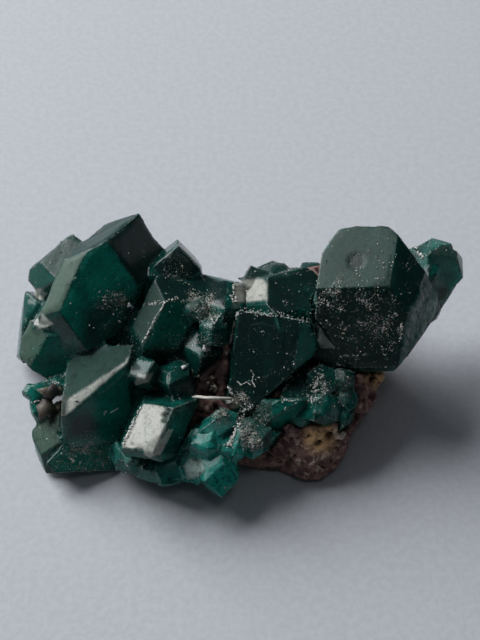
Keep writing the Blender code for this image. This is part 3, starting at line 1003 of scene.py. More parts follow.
    def colour(self, skin: Skin, masks: list[Floats], facing: Floats,
               seen: Floats) -> None:
        """Work out tone, gloss, dust, edge and clear for every vertex."""
        points = skin.points
        fine = skin.bulge(self.rounds(WEAR))
        broad = skin.bulge(self.rounds(BROAD))
        crevice = ease(-broad, 0.02, 0.28)
        ridge = ease(fine, 0.006, 0.030)
        blotch = rough_noise(points, 1.3, self.seed + 60, 4)
        dust = 0.08 + 0.55 * crevice * ease(blotch, -0.5, 0.5) + 0.15 * ridge
        dust += 0.12 * ease(facing[:, 2], 0.2, 0.9) * ease(blotch, -0.2, 0.8)
        clear = 0.06 + 0.25 * ease(rough_noise(points, 3.0, self.seed + 61, 3), -0.2, 0.6)
        gloss = 0.13 + 0.10 * ease(rough_noise(facing, 0.7, self.seed + 62, 1), -0.2, 0.7)
        tone = np.zeros((len(points), 4))
        for patch in self.dust:
            dust += patch.over(seen, 0.2) * ease(blotch, -0.7, 0.3)
        for patch in self.clear:
            clear += patch.over(seen, 0.3)
        # Face tones, on some faces painted reflections or glow.
        for face, held in zip(self.faces, masks):
            tone += ((*face.tone.value, FACE_WEIGHT) - tone) * held[:, None]
            gloss = gloss * (1 - held) + face.gloss * held
            dust = dust + face.dust * held
            clear = clear + face.clear * held
        skin.fields["tone"] = tone
        skin.fields["gloss"] = np.clip(gloss, 0.02, 1.0)
        skin.fields["dust"] = np.clip(dust, 0.0, 1.0)
        skin.fields["clear"] = np.clip(clear, 0.0, 1.0)
        skin.fields["edge"] = ease(fine, 0.010, 0.035)


# --------------------------------------------------------------------------
# Rock
# --------------------------------------------------------------------------

@dataclass
class Rock:
    """Porous matrix under the crystals."""

    node: str = "matrix"
    piece: str = "porous_matrix"
    grain: float = 0.17
    swell: float = 0.22
    seed: int = 7
    ochre: Sequence[Patch] = ()
    cream: Sequence[Patch] = ()
    # Spots of painted shade over the dark hollows.
    shade_patches: Sequence[Patch] = ()

    def build(self, view: Viewpoint) -> bpy.types.Object:
        """Wrap, pit, colour, paint shade into the hollows and place the rock."""
        skin = Skin(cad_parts[self.node], self.piece, self.grain)
        points = skin.points
        wide, _ = pores(points, 1.5, self.seed)
        small, _ = pores(points, 0.7, self.seed + 9)
        pores_and_shade = (1.0 - ease(wide, 0.12, 0.42)) * ease(rough_noise(points, 2.0, 3, 2), -0.4, 0.3)
        nook = 1.0 - ease(small, 0.12, 0.45)
        lift = self.swell + 0.16 * rough_noise(points, 0.9, self.seed + 3, 4)
        lift -= 0.50 * pores_and_shade + 0.22 * nook
        above = ease(points[:, 2], 0.02, 0.35)
        skin.points = points + skin.normals * (lift * above)[:, None]
        skin.points[:, 2] = np.maximum(skin.points[:, 2], 0.0)
        skin.write_points()
        seen = view.seen(skin.points)
        # Painted shade: pores, nooks, crevices and the shade patches are darkened.
        crevice = ease(-skin.bulge(14), 0.0, 0.12)
        dark = 0.7 * pores_and_shade + 0.5 * nook * crevice + 0.5 * crevice
        dark += 1.4 * self.spots(seen, self.shade_patches)
        skin.fields["pores_and_shade"] = np.clip(dark, 0.0, 1.3)
        skin.fields["ochre"] = self.spots(seen, self.ochre)
        skin.fields["cream"] = self.spots(seen, self.cream)
        item = skin.finish_mesh(PorousStone().material())
        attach(item, ROOT)
        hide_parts(self.node)
        log.info("%s: %d vertices", self.piece, len(points))
        return item

    @staticmethod
    def spots(seen: Floats, patches: Sequence[Patch]) -> Floats:
        """Sum of the patches at every vertex."""
        total = np.zeros(len(seen))
        for patch in patches:
            total += patch.over(seen, 0.3)
        return np.clip(total, 0.0, 1.0)


# --------------------------------------------------------------------------
# Dust and fibre
# --------------------------------------------------------------------------

@dataclass
class Crumbs:
    """Grains lying on the crystals, each a small lump of two rings and two tips."""

    piece: str
    hosts: Sequence[bpy.types.Object]
    count: int
    small: float = 0.05
    large: float = 0.20
    flatness: float = 0.55
    sides: int = 4
    seed: int = 3
    colours: Sequence[Colour] = ((0.80, 0.78, 0.70),)
    spots: Sequence[Patch] = ()
    spot_share: float = 0.5

    def build(self, view: Viewpoint) -> bpy.types.Object:
        """Scatter the grains and make them one piece."""
        rng = np.random.default_rng(self.seed)
        points, normals, weight = self.ground(view)
        chosen = rng.choice(len(points), size=self.count, p=weight / weight.sum())
        centre = points[chosen]
        size = self.small * (self.large / self.small) ** (rng.random(self.count) ** GRAIN_SKEW)
        centre = centre + normals[chosen] * (size * GRAIN_LIFT)[:, None]
        centre += rng.normal(0.0, GRAIN_STRAY, centre.shape)
        return self.grains(rng, centre, normals[chosen], size)

    def ground(self, view: Viewpoint) -> tuple[Floats, Floats, Floats]:
        """Points that grains may lie on, with the chance of each.

        Returns:
            Points in millimetres, their normals and their weights.
        """
        all_points, all_normals, all_weights = [], [], []
        for host in self.hosts:
            mesh = host.data
            count = len(mesh.vertices)
            points = fetched(mesh.vertices, "co", 3) / MM
            normals = fetched(mesh.vertex_normals, "vector", 3)
            dust = fetched(mesh.attributes["dust"].data, "value")
            clump = ease(rough_noise(points, 0.8, self.seed + 70, 3), 0.05, 0.5) + 0.03
            weight = (dust ** 2 + 0.006) * ease(normals[:, 2], -0.35, 0.3)
            weight = weight * clump
            weight /= weight.sum() / count
            extra = np.zeros(count)
            seen = view.seen(points)
            facing = ease(normals @ view.axes()[2], 0.0, 0.4)
            for spot in self.spots:
                extra += facing * spot.over(seen, 0.0)
            all_points.append(points)
            all_normals.append(normals)
            all_weights.append(weight + 6.0 * self.spot_share * extra * clump)
        return (np.concatenate(all_points), np.concatenate(all_normals),
                np.concatenate(all_weights))

    def grains(self, rng: np.random.Generator, centre: Floats, up: Floats,
               size: Floats) -> bpy.types.Object:
        """Make all the grains in one mesh.

        A grain is a tip, two rings and a tip.  Ring corners lie on an
        ellipsoid, each pushed in or out by up to a third, and the grain is
        turned at random about the normal it lies on.
        """
        count = len(centre)
        turn = rng.random(count) * 2 * math.pi
        side = np.cross(up, rng.normal(size=(count, 3)))
        side /= np.linalg.norm(side, axis=1, keepdims=True)
        other = np.cross(up, side)
        around = np.arange(self.sides) * 2 * math.pi / self.sides
        level = np.array((0.45, -0.45))
        ring = np.sqrt(1.0 - level ** 2)
        angle = around[None, None, :] + turn[:, None, None]
        push = 1.0 + rng.uniform(-0.42, 0.34, (count, 2, self.sides))
        stretch = 1.0 + rng.uniform(0.0, 0.9, count)[:, None, None]
        x = np.cos(angle) * ring[None, :, None] * push * stretch
        y = np.sin(angle) * ring[None, :, None] * push
        z = np.broadcast_to(level[None, :, None], x.shape) * self.flatness * push
        tip = np.array((self.flatness, -self.flatness))
        corners = (x[..., None] * side[:, None, None, :] + y[..., None] * other[:, None, None, :]
                   + z[..., None] * up[:, None, None, :]).reshape(count, -1, 3)
        tips = tip[None, :, None] * up[:, None, :]
        local = np.concatenate([corners, tips], axis=1) * size[:, None, None] * 0.5
        verts = (centre[:, None, :] + local).reshape(-1, 3) * MM
        verts[:, 2] = np.maximum(verts[:, 2], 0.0001)
        item = mesh_object(self.piece, verts, self.grain_faces(count))
        shades = np.array(self.colours)[rng.integers(0, len(self.colours), count)]
        shades = shades * rng.uniform(0.7, 1.1, (count, 1))
        rgba = np.concatenate([np.clip(shades, 0, 1), np.ones((count, 1))], axis=1)
        made = item.data.attributes.new("tone", 'FLOAT_COLOR', 'POINT')
        made.data.foreach_set("color",
                              np.repeat(rgba, self.sides * 2 + 2, axis=0).ravel()
                              .astype(np.float32))
        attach(item, ROOT)
        log.info("%s: %d grains", self.piece, count)
        return item

    def grain_faces(self, count: int) -> Ints:
        """Triangles of every grain, all facing out."""
        s = self.sides
        here = np.arange(s)
        after = (here + 1) % s
        top, low = 2 * s, 2 * s + 1
        one = np.concatenate([
            np.stack([here, after, np.full(s, top)], axis=1),
            np.stack([after, here, s + here], axis=1),
            np.stack([after, s + here, s + after], axis=1),
            np.stack([s + after, s + here, np.full(s, low)], axis=1)])
        return (one[None] + (np.arange(count) * (2 * s + 2))[:, None, None]).reshape(-1, 3)


def mesh_object(name: str, verts: Floats, faces: Ints) -> bpy.types.Object:
    """Object at the origin from whole arrays.

    Args:
        name: Name of the object.
        verts: Corners in metres.
        faces: Corner numbers, the same count in every face.

    Returns:
        The object, linked to the scene.
    """
    mesh = bpy.data.meshes.new(name)
    sides = faces.shape[1]
    mesh.vertices.add(len(verts))
    mesh.vertices.foreach_set("co", verts.astype(np.float32).ravel())
    mesh.loops.add(faces.size)
    mesh.loops.foreach_set("vertex_index", faces.astype(np.int32).ravel())
    mesh.polygons.add(len(faces))
    mesh.polygons.foreach_set("loop_start", np.arange(len(faces), dtype=np.int32) * sides)
    mesh.update(calc_edges=True)
    mesh.validate()
    return placed(name, mesh)


@dataclass
class Trail:
    """Line of crust: where it runs, how large and how close its grains are."""

    line: Sequence[Pixel]
    size: float = 0.13
    spread: float = 0.06
    pitch: float = 0.07


@dataclass
class Crust(Crumbs):
    """Grains along lines and in clumps, where sight lines meet the crystals."""

    trails: Sequence[Trail] = ()

    def lay(self, solids: Solids) -> bpy.types.Object:
        """Drop the grains of every trail on the solids and make them one piece."""
        rng = np.random.default_rng(self.seed)
        places, normals, sizes = [], [], []
        for trail in self.trails:
            for spot in self.walk(trail, rng):
                landed = solids.drop(tuple(spot))
                if landed is None:
                    continue
                point, normal = landed
                size = trail.size * rng.uniform(0.55, 1.5)
                places.append(point + normal * size * GRAIN_LIFT)
                normals.append(normal)
                sizes.append(size)
        return self.grains(rng, np.array(places), np.array(normals), np.array(sizes))

    @staticmethod
    def walk(trail: Trail, rng: np.random.Generator) -> Floats:
        """Columns and rows of a trail's grains, strewn to both sides of its line."""
        corners = np.array(trail.line, dtype=float)
        legs = np.linalg.norm(np.diff(corners, axis=0), axis=1)
        run = np.concatenate([[0.0], np.cumsum(legs)])
        count = max(2, int(run[-1] / (trail.pitch / PIXEL_MM)))
        at = np.sort(rng.uniform(0.0, run[-1], count))
        spots = np.stack([np.interp(at, run, corners[:, k]) for k in (0, 1)], axis=1)
        return spots + rng.normal(0.0, trail.spread / PIXEL_MM, spots.shape)


@dataclass
class Fibre:
    """Stiff pale fibre caught between two crystals."""

    ends: tuple[Pixel, Pixel] = ((192.0, 396.5), (233.0, 398.5))
    width: float = 0.34
    thickness: float = 0.26
    lift: float = 0.9
    around: int = 10
    along: int = 60
    seed: int = 5

    def build(self, solids: Solids) -> bpy.types.Object:
        """Carry a flattened ring along the path between the two ends.

        The path is a line with an arch towards the viewer, lift * sin(pi t),
        and a slow sideways wander; the ring narrows to the tips.
        """
        start, _ = solids.hit(self.ends[0])
        end, _ = solids.hit(self.ends[1])
        t = np.linspace(0.0, 1.0, self.along)
        line = end - start
        path = start + t[:, None] * line
        arch = (self.lift * np.sin(math.pi * t) + 0.15)[:, None]
        path += arch * solids.view.axes()[2]
        wander = soft_noise(np.stack([t * 6.0, t * 0, t * 0], axis=1), 1.0, self.seed)
        path[:, 1] += 0.03 * wander
        way = line / np.linalg.norm(line)
        side = np.cross(way, (0.0, 0.0, 1.0))
        side /= np.linalg.norm(side)
        up = np.cross(side, way)
        angle = np.arange(self.around) * 2 * math.pi / self.around
        taper = np.clip(np.minimum(t, 1 - t) * 8.0 + 0.25, 0.0, 1.0)[:, None, None]
        ring = (np.cos(angle)[None, :, None] * side * self.width / 2
                + np.sin(angle)[None, :, None] * up * self.thickness / 2)
        verts = (path[:, None, :] + ring * taper).reshape(-1, 3) * MM
        verts = np.concatenate([verts, path[:1] * MM, path[-1:] * MM])
        item = mesh_object("pale_fibre", verts, self.faces())
        item.data.shade_smooth()
        item.data.materials.append(PlantFibre().material())
        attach(item, ROOT)
        log.info("pale_fibre: %.1f mm long", np.linalg.norm(line))
        return item

    def faces(self) -> Ints:
        """Triangles of the tube and of its two closed tips."""
        k = self.around
        row = np.arange(self.along - 1)[:, None] * k
        here = np.arange(k)[None, :]
        after = (here + 1) % k
        a, b = (row + here).ravel(), (row + after).ravel()
        c, d = (row + k + after).ravel(), (row + k + here).ravel()
        first, last = self.along * k, self.along * k + 1
        base = (self.along - 1) * k
        here, after = here.ravel(), after.ravel()
        return np.concatenate([
            np.stack([a, d, b], axis=1), np.stack([b, d, c], axis=1),
            np.stack([here, after, np.full(k, first)], axis=1),
            np.stack([base + after, base + here, np.full(k, last)], axis=1)])


# --------------------------------------------------------------------------
# Setting
# --------------------------------------------------------------------------

@dataclass
class Studio:
    """Pale sheet of paper, one large soft light from the left and back, dim room."""

    floor_side: float = 1.6
    paper: Colour = (0.56, 0.575, 0.61)
    key_from: Colour = (-0.62, 0.46, 0.58)
    key_distance: float = 0.60
    key_side: float = 0.40
    key_tall: float = 1.6
    key_power: float = 5.7
    fill_from: Colour = (0.12, -0.30, 0.95)
    fill_distance: float = 0.60
    fill_side: float = 0.10
    fill_power: float = 0.10
    room: Colour = (0.30, 0.33, 0.38)
    room_strength: float = 0.20
    room_turn: float = -0.3
    room_dim: float = 0.12
    room_bright: float = 1.8

    def build(self) -> None:
        """Make the floor, the lights and the room."""
        self.floor()
        self.lamp("window", self.key_from, self.key_distance, self.key_side, self.key_power,
                  self.key_tall)
        self.lamp("ceiling", self.fill_from, self.fill_distance, self.fill_side,
                  self.fill_power)
        self.world()

    def floor(self) -> None:
        """Flat sheet on the level the specimen stands on."""
        half = self.floor_side / 2
        verts = np.array([(-half, -half, 0.0), (half, -half, 0.0), (half, half, 0.0),
                          (-half, half, 0.0)])
        item = mesh_object("paper_floor", verts - (0.0, 0.0, 0.00002), np.array([(0, 1, 2, 3)]))
        r = Recipe("paper")
        pulp = r.noise(0.7, 5.0, 0.6)
        r.set("Base Color", r.blend(r.ranged(pulp, 0.35, 0.65), self.paper,
                                    tuple(c * 0.93 for c in self.paper)))
        r.set("Roughness", 0.9)
        r.set("Normal", r.bump(pulp, 0.06, 0.5))
        item.data.materials.append(r.material)

    @staticmethod
    def lamp(name: str, come_from: Colour, distance: float, side: float,
             power: float, tall: float = 1.0) -> None:
        """Soft light that faces the specimen, tall times as high as it is wide."""
        data = bpy.data.lights.new(name, 'AREA')
        data.shape = 'RECTANGLE'
        data.size = side
        data.size_y = side * tall
        data.energy = power
        data.color = DAYLIGHT
        lamp = placed(name, data)
        way = Vector(come_from).normalized()
        lamp.location = way * distance
        lamp.rotation_euler = way.to_track_quat('Z', 'Y').to_euler()

    def world(self) -> None:
        """Room that is brighter towards the window and dim on the other side."""
        world = bpy.data.worlds.new("room")
        world.use_nodes = True
        tree = world.node_tree
        back = tree.nodes["Background"]
        where = tree.nodes.new("ShaderNodeTexCoord")
        dot = tree.nodes.new("ShaderNodeVectorMath")
        dot.operation = 'DOT_PRODUCT'
        tree.links.new(where.outputs["Generated"], dot.inputs[0])
        dot.inputs[1].default_value = Vector(self.key_from).normalized()
        spread = tree.nodes.new("ShaderNodeMapRange")
        spread.interpolation_type = 'SMOOTHSTEP'
        spread.inputs["From Min"].default_value = self.room_turn
        spread.inputs["From Max"].default_value = 1.0
        spread.inputs["To Min"].default_value = self.room_dim
        spread.inputs["To Max"].default_value = self.room_bright
        tree.links.new(dot.outputs["Value"], spread.inputs["Value"])
        strength = tree.nodes.new("ShaderNodeMath")
        strength.operation = 'MULTIPLY'
        tree.links.new(spread.outputs["Result"], strength.inputs[0])
        strength.inputs[1].default_value = self.room_strength
        tree.links.new(strength.outputs[0], back.inputs["Strength"])
        back.inputs["Color"].default_value = (*self.room, 1.0)
        bpy.context.scene.world = world


# --------------------------------------------------------------------------
# The specimen
# --------------------------------------------------------------------------

WHITE = (0.80, 0.80, 0.77)
DUST_COLOURS = (WHITE, WHITE, (0.76, 0.74, 0.66), (0.66, 0.56, 0.42), (0.60, 0.70, 0.66))
CHIP_COLOURS = ((0.01, 0.12, 0.09), (0.06, 0.20, 0.17), (0.005, 0.05, 0.04))
# Bluish white of the flat flakes: painted glints of the daylight.
GLINT_FLAKE_COLOURS = ((0.72, 0.76, 0.86), WHITE)
GRIT_COLOURS = ((0.10, 0.075, 0.05), (0.05, 0.04, 0.035), (0.16, 0.13, 0.09))

MIRROR_OUTLINE = ((143, 403), (153, 404), (164, 406), (167, 411), (162, 414), (165, 419),
                  (161, 421), (167, 424), (166, 431), (161, 439), (164, 436), (168, 429),
                  (174, 429), (168, 441), (160, 456), (150, 458), (144, 455), (141, 449),
                  (131, 449), (121, 448), (127, 435), (135, 419))

LEFT_FACES = (
    Face("shoulder_top", (62, 250), Tone.ETCHED, 0.55, 0.1,
         grooves=((88, 247), (59, 310), 0.35, 0.05), pitting=0.6),
    Face("tall_left_strip", (66, 275), Tone.WORN, 0.5,
         grooves=((88, 247), (59, 310), 0.5, 0.01)),
    Face("tall_top_strip", (106, 231), Tone.DEEP, 0.35,
         grooves=((85, 235), (125, 213), 0.3, 0.05)),
    # Bright teal partly stands for light shining through the crystal: a painted glow.
    Face("tall_front", (90, 300), Tone.TEAL, 0.20),
    Face("tall_right_end", (138, 240), Tone.DARK, 0.30),
    Face("shoulder_side", (42, 275), Tone.EMERALD, 0.3, 0.0, reach=4.0),
    # Whitish tone: a painted reflection of the light in this small facet.
    Face("small_mirror", (43, 325), Tone.PALE, 0.15, reach=2.6),
    Face("edge_facet", (28, 325), Tone.WORN, 0.4, reach=5.0),
    Face("broad_green", (50, 356), Tone.TEAL, 0.2, reach=6.0),
    Face("corner_facet", (44, 437), Tone.WORN, 0.5, pitting=0.25, reach=4.0),
    Face("long_slab_lit", (88, 378), Tone.ETCHED, 0.9, reach=6.0,
         grooves=((66, 402), (108, 350), 0.4, 0.03)),
    # Whitish tone: a painted reflection of the light on the strip.
    Face("long_slab_strip", (84, 400), Tone.PALE, 0.4, 0.1, reach=7.0),
    Face("long_slab_front", (95, 410), Tone.TEAL, 0.18, reach=8.0),
    Face("low_slope", (90, 460), Tone.TEAL, 0.4, 0.35, reach=8.0),
    Face("crested_left", (150, 322), Tone.ETCHED, 0.7, 0.1, reach=5.0),
    Face("crested_front", (175, 330), Tone.EMERALD, 0.2, reach=6.0),
    Face("mirror", (148, 425), Tone.ETCHED, 0.5, 0.1, reach=6.0,
         steps=(Step(MIRROR_OUTLINE, 0.35, Sort.SUNK, 0.7, True),)),
    Face("peak_facet", (182, 255), Tone.DARK, 0.25, reach=3.0),
    Face("back_shade", (218, 295), Tone.DARK, 0.15, reach=5.0),
    Face("hollow_wall", (175, 285), Tone.DARK, 0.15, reach=4.0),
)

RIGHT_FACES = (
    Face("square_top", (378, 250), Tone.ETCHED, 0.55, pitting=0.12,
         steps=(Step([(347, 262), (349, 255), (356, 252), (363, 254), (366, 261), (362, 268),
                      (354, 270), (349, 268)], 0.09, Sort.SUNK, 3.0),)),
    Face("square_front", (350, 315), Tone.DARK, 0.3, 0.15),
    Face("square_right", (408, 290), Tone.DEEP, 0.3),
    Face("end_top", (440, 247), Tone.ETCHED, 0.4, reach=3.0),
    Face("end_strip", (450, 268), Tone.TEAL, 0.3, reach=3.0),
    Face("end_break", (428, 300), Tone.DEEP, 0.35, reach=6.0,
         shell=Shell((455, 235), 0.75, 0.16)),
    Face("end_low", (415, 325), Tone.EMERALD, 0.35, reach=6.0,
         shell=Shell((380, 270), 0.9, 0.12)),
)

CENTRE_FACES = (
    Face("rimmed_front", (262, 350), Tone.DARK, 0.3,
         steps=(Step([(248, 345), (250, 325), (262, 323), (285, 330), (283, 350)], 0.05,
                     Sort.RAISED, 0.8),)),
    Face("rimmed_facet", (308, 345), Tone.TEAL, 0.5, reach=4.0),
    Face("back_front", (285, 288), Tone.DARK, 0.3, reach=5.0),
    Face("back_top", (290, 270), Tone.DEEP, 0.45, reach=4.0),
    Face("emerald_right", (285, 418), Tone.TEAL, 0.18, 0.0, 0.3, reach=5.0),
    Face("emerald_left", (265, 415), Tone.DEEP, 0.4, 0.2, reach=5.0),
)

STAINS_AND_PAINTED_LIGHT = (
    # The whitish mirror facet: a painted reflection of the light.
    StainOrPaintedLight(MIRROR_OUTLINE, Tone.PALE, 0.97, 0.40, -0.6, 0.5),
    StainOrPaintedLight([(31, 289), (39, 289), (48, 293), (44, 299), (40, 301), (34, 296)],
          Tone.PALE, 0.95, 0.3),
    # Small whitish facet: a painted reflection of the light.
    StainOrPaintedLight([(41, 314), (55, 324), (46, 328), (37, 329)], Tone.PALE, 0.95, 0.15),
    StainOrPaintedLight([(233, 303), (236, 283), (245, 278), (262, 278), (267, 283), (267, 300), (250, 302)],
          Tone.PALE, 0.95, 0.8, 0.2, 2.0),
    # Pale mint on a facet of the lump that catches the light: a painted highlight.
    StainOrPaintedLight([(183, 466), (190, 458), (201, 459), (205, 468), (199, 477), (188, 479)],
          Tone.MINT_HIGHLIGHT, 1.0, 0.6, 0.3, 2.5),
    StainOrPaintedLight([(222, 400), (236, 398), (240, 405), (230, 410), (221, 408)],
          Tone.CRUST, 0.8, 0.8, 0.3, 2.0),
    StainOrPaintedLight([(133, 387), (138, 372), (146, 375), (154, 372), (150, 382), (142, 384)],
          Tone.PALE, 0.85, 0.4, 0.1),
    StainOrPaintedLight([(30, 345), (42, 345), (31, 363), (24, 364)], Tone.WORN, 0.8, 0.4),
    StainOrPaintedLight([(85, 310), (100, 300), (125, 290), (128, 330), (108, 350), (80, 350)],
          Tone.DEEP, 0.7, 0.35, 0.1, 9.0),
    StainOrPaintedLight([(70, 415), (90, 412), (98, 425), (90, 440), (68, 438)], Tone.DARK, 0.8,
          0.2, 0.0, 7.0),
    StainOrPaintedLight([(40, 396), (60, 390), (68, 400), (66, 416), (48, 420), (40, 410)],
          Tone.RUST, 0.8, 0.7, 0.1, 3.0),
    StainOrPaintedLight([(25, 385), (33, 384), (36, 392), (34, 401), (27, 398)], Tone.TEAL, 0.8,
          0.25, 0.0, 1.5),
    # Painted shade darkens the pit in the square crystal's top.
    StainOrPaintedLight([(347, 262), (349, 255), (356, 252), (363, 254), (366, 261), (362, 268), (354, 270)],
          Tone.DARK, 0.9, 0.4, 0.0, 2.0),
    StainOrPaintedLight([(395, 230), (404, 237), (404, 241), (393, 236)], Tone.DEEP, 0.8, 0.4),
    StainOrPaintedLight([(435, 287), (448, 287), (446, 299), (437, 301)], Tone.RUST, 0.7, 0.6,
          0.0, 3.0),
    # Painted shade darkens the hollow under the square crystal.
    StainOrPaintedLight([(320, 325), (365, 325), (370, 350), (345, 372), (318, 355)],
          Tone.DARK, 0.9, 0.5, 0.0, 6.0),
    StainOrPaintedLight([(338, 372), (354, 376), (352, 400), (340, 410), (336, 390)], Tone.ETCHED,
          0.6, 0.5, 0.3, 4.0),
    StainOrPaintedLight([(122, 452), (140, 452), (146, 462), (136, 474), (122, 466)], Tone.TEAL,
          0.8, 0.5, 0.3, 4.0),
    StainOrPaintedLight([(240, 262), (262, 258), (292, 262), (290, 276), (240, 280)], Tone.DEEP,
          0.85, 0.4, 0.2, 3.0),
    StainOrPaintedLight([(238, 405), (270, 405), (272, 446), (252, 452), (240, 440)], Tone.DEEP,
          0.85, 0.4, 0.3, 3.0),
    StainOrPaintedLight([(187, 298), (200, 297), (203, 308), (190, 311)], Tone.ETCHED, 0.85, 0.6,
          0.1, 2.0),
    StainOrPaintedLight([(145, 215), (158, 232), (160, 246), (150, 240), (135, 220)], Tone.DARK,
          0.8, 0.25, 0.0, 3.0),
)

DUST_SPOTS = (
    Patch((335, 303), 24, 0.5), Patch((112, 300), 28, 0.35), Patch((212, 310), 26, 0.8),
    Patch((217, 412), 18, 0.8), Patch((85, 455), 30, 0.6), Patch((190, 298), 14, 0.6),
    Patch((175, 345), 26, 0.35), Patch((318, 390), 18, 0.7), Patch((205, 345), 24, 0.6),
    Patch((370, 315), 34, 0.2), Patch((130, 350), 24, 0.4), Patch((53, 405), 18, 0.5),
    Patch((125, 310), 16, 0.8), Patch((395, 330), 20, 0.3), Patch((60, 385), 16, 0.4),
    Patch((265, 385), 24, 0.12), Patch((240, 400), 14, 0.7), Patch((245, 440), 22, 0.4),
    Patch((135, 440), 12, 0.6), Patch((175, 270), 24, 0.3), Patch((340, 285), 16, 0.8),
)

# Lines of pale crust; the ones marked below are painted glints.
CRUST_AND_GLINT_TRAILS = (
    Trail([(238, 310), (250, 311), (262, 313), (280, 315), (300, 319), (307, 322)], 0.12, 0.15),
    Trail([(238, 311), (235, 322), (232, 335), (230, 343), (229, 350), (225, 356), (223, 362),
           (224, 372), (227, 382), (230, 389), (232, 395)], 0.17, 0.06, 0.06),
    Trail([(165, 303), (160, 311), (155, 318), (151, 327), (147, 335), (141, 345)], 0.12, 0.04),
    Trail([(143, 306), (150, 304), (165, 302), (178, 297)], 0.12, 0.08),
    Trail([(31, 403), (46, 399), (60, 395)], 0.14, 0.03),
    Trail([(209, 312), (214, 324), (221, 314)], 0.13, 0.02, 0.05),
    Trail([(251, 370), (254, 375), (252, 381), (256, 388)], 0.10, 0.01, 0.04),
    Trail([(237, 381), (241, 385), (247, 382), (252, 386)], 0.10, 0.01, 0.04),
    Trail([(283, 391), (287, 386), (286, 380), (292, 376)], 0.10, 0.01, 0.04),
    Trail([(318, 366), (320, 375), (315, 388), (313, 398), (310, 405)], 0.16, 0.25, 0.05),
    Trail([(142, 405), (136, 416), (129, 431), (123, 444)], 0.17, 0.05),
    # Painted glints.
    Trail([(104, 414), (106, 411)], 0.12, 0.01, 0.04),
    Trail([(110, 413), (118, 408)], 0.12, 0.01, 0.04),
    # Painted glints along a bright line.
    Trail([(412, 244), (418, 250), (422, 258)], 0.17, 0.12, 0.08),
    Trail([(344, 264), (347, 257), (354, 252)], 0.08, 0.12, 0.3),
    Trail([(350, 268), (358, 269), (364, 267)], 0.08, 0.12, 0.3),
    # Painted glints along the glinting growth lines.
    Trail([(88, 238), (105, 226), (122, 216)], 0.09, 0.12),
    Trail([(236, 430), (240, 418), (246, 409), (255, 404)], 0.15, 0.18),
    Trail([(68, 456), (74, 461), (70, 465)], 0.11, 0.03, 0.05),
    Trail([(205, 404), (214, 400), (222, 403), (233, 401)], 0.16, 0.14, 0.05),
    Trail([(278, 394), (284, 399), (296, 402)], 0.13, 0.08),
    Trail([(229, 446), (231, 438), (236, 430)], 0.20, 0.15, 0.05),
    Trail([(238, 280), (232, 296), (236, 302)], 0.22, 0.15, 0.06),
    # Painted glints.
    Trail([(398, 343), (402, 335), (401, 322)], 0.12, 0.10, 0.1),
    Trail([(32, 381), (44, 379), (58, 384)], 0.12, 0.10, 0.1),
)

GRIT = (
    Trail([(46, 391), (52, 393), (60, 391)], 1.3, 0.10, 0.25),
    Trail([(62, 396), (62, 404), (56, 410)], 1.2, 0.10, 0.25),
    Trail([(44, 400), (44, 408), (50, 411)], 1.4, 0.10, 0.25),
    Trail([(196, 385), (206, 380), (216, 388)], 0.35, 0.4, 0.06),
)

# Flat flakes laid where glints are: painted glints.
GLINT_FLAKES = (
    Trail([(202, 344), (206, 348), (204, 351)], 0.45, 0.04, 0.2),
    Trail([(183, 366), (185, 368)], 0.35, 0.03, 0.3),
    Trail([(126, 303), (132, 308)], 0.30, 0.12, 0.15),
    Trail([(324, 300), (330, 304)], 0.30, 0.10, 0.3),
)


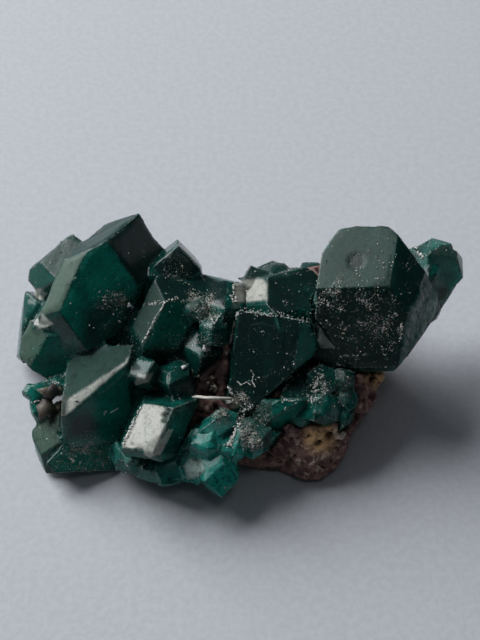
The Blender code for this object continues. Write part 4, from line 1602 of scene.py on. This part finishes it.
@dataclass
class Specimen:
    """All the pieces of the specimen."""

    view: Viewpoint = field(default_factory=Viewpoint)

    def groups(self) -> list[CrystalGroup]:
        """The four crystal groups."""
        druse = GlassyDioptase("dioptase_front", body=(0.014, 0.190, 0.155),
                               bright=(0.022, 0.400, 0.330))
        made = (
            ("left_crystal_group", "left_crystals", GlassyDioptase("dioptase_left"), 0.170,
             LEFT_FACES, (Patch((50, 355), 26, 0.5), Patch((110, 400), 40, 0.35),
                          Patch((35, 400), 24, 0.5), Patch((100, 455), 34, 0.4))),
            ("right_crystal_group", "right_crystals", GlassyDioptase("dioptase_right"), 0.105,
             RIGHT_FACES, (Patch((448, 270), 22, 0.5),)),
            ("centre_crystal_group", "centre_crystals", GlassyDioptase("dioptase_centre"), 0.11,
             CENTRE_FACES, (Patch((285, 420), 34, 0.5), Patch((340, 400), 30, 0.3))),
            ("front_druse", "front_druse_crystals", druse, 0.09,
             (), (Patch((225, 470), 60, 0.5),)),
        )
        return [CrystalGroup(node, piece, finish.name, finish, grain, seed, faces=faces,
                             dust=DUST_SPOTS, clear=clear, stains_and_painted_light=STAINS_AND_PAINTED_LIGHT)
                for seed, (node, piece, finish, grain, faces, clear) in enumerate(made, 1)]

    def build(self) -> None:
        """Build every piece and report it."""
        self.view.build()
        names = sorted(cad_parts)
        solids = Solids(names, self.view)
        hosts = [group.build(self.view, solids) for group in self.groups()]
        # The shade patches paint shade into the rock's dark hollows.
        Rock(ochre=(Patch((320, 437), 24, 1.0), Patch((378, 374), 20, 1.0)),
             cream=(Patch((339, 434), 9, 1.5), Patch((310, 455), 30, 0.4)),
             shade_patches=(Patch((208, 372), 34, 1.0), Patch((185, 420), 30, 0.6),
                   Patch((360, 422), 14, 0.5))).build(self.view)
        powder = Powder().material()
        scattered = (
            Crumbs("pale_dust", hosts, 6000, 0.035, 0.17, seed=3, spots=DUST_SPOTS,
                   spot_share=0.9, colours=DUST_COLOURS),
            Crumbs("fine_dust", hosts, 6500, 0.025, 0.09, seed=5, spots=DUST_SPOTS,
                   spot_share=0.4, colours=DUST_COLOURS),
            Crumbs("green_chips", hosts, 1800, 0.05, 0.26, seed=4, spots=DUST_SPOTS,
                   colours=CHIP_COLOURS))
        # Some lines of the pale crust are painted glints, and the flakes are painted glints.
        strewn = (
            Crust("pale_crust_and_glints", hosts, 0, seed=8, colours=DUST_COLOURS[:3], trails=CRUST_AND_GLINT_TRAILS),
            Crust("glint_flakes", hosts, 0, flatness=0.3, seed=9, colours=GLINT_FLAKE_COLOURS,
                  trails=GLINT_FLAKES),
            Crust("brown_grit", hosts, 0, seed=12, colours=GRIT_COLOURS, trails=GRIT))
        loose = [crumbs.build(self.view) for crumbs in scattered]
        loose += [crust.lay(solids) for crust in strewn]
        for item in loose:
            item.data.materials.append(powder)
        Fibre().build(solids)


def main() -> None:
    """Build the specimen and its setting."""
    logging.basicConfig(level=logging.INFO)
    Studio().build()
    Specimen().build()
    bpy.context.scene.view_settings.view_transform = 'Standard'


if __name__ == "__main__":
    main()
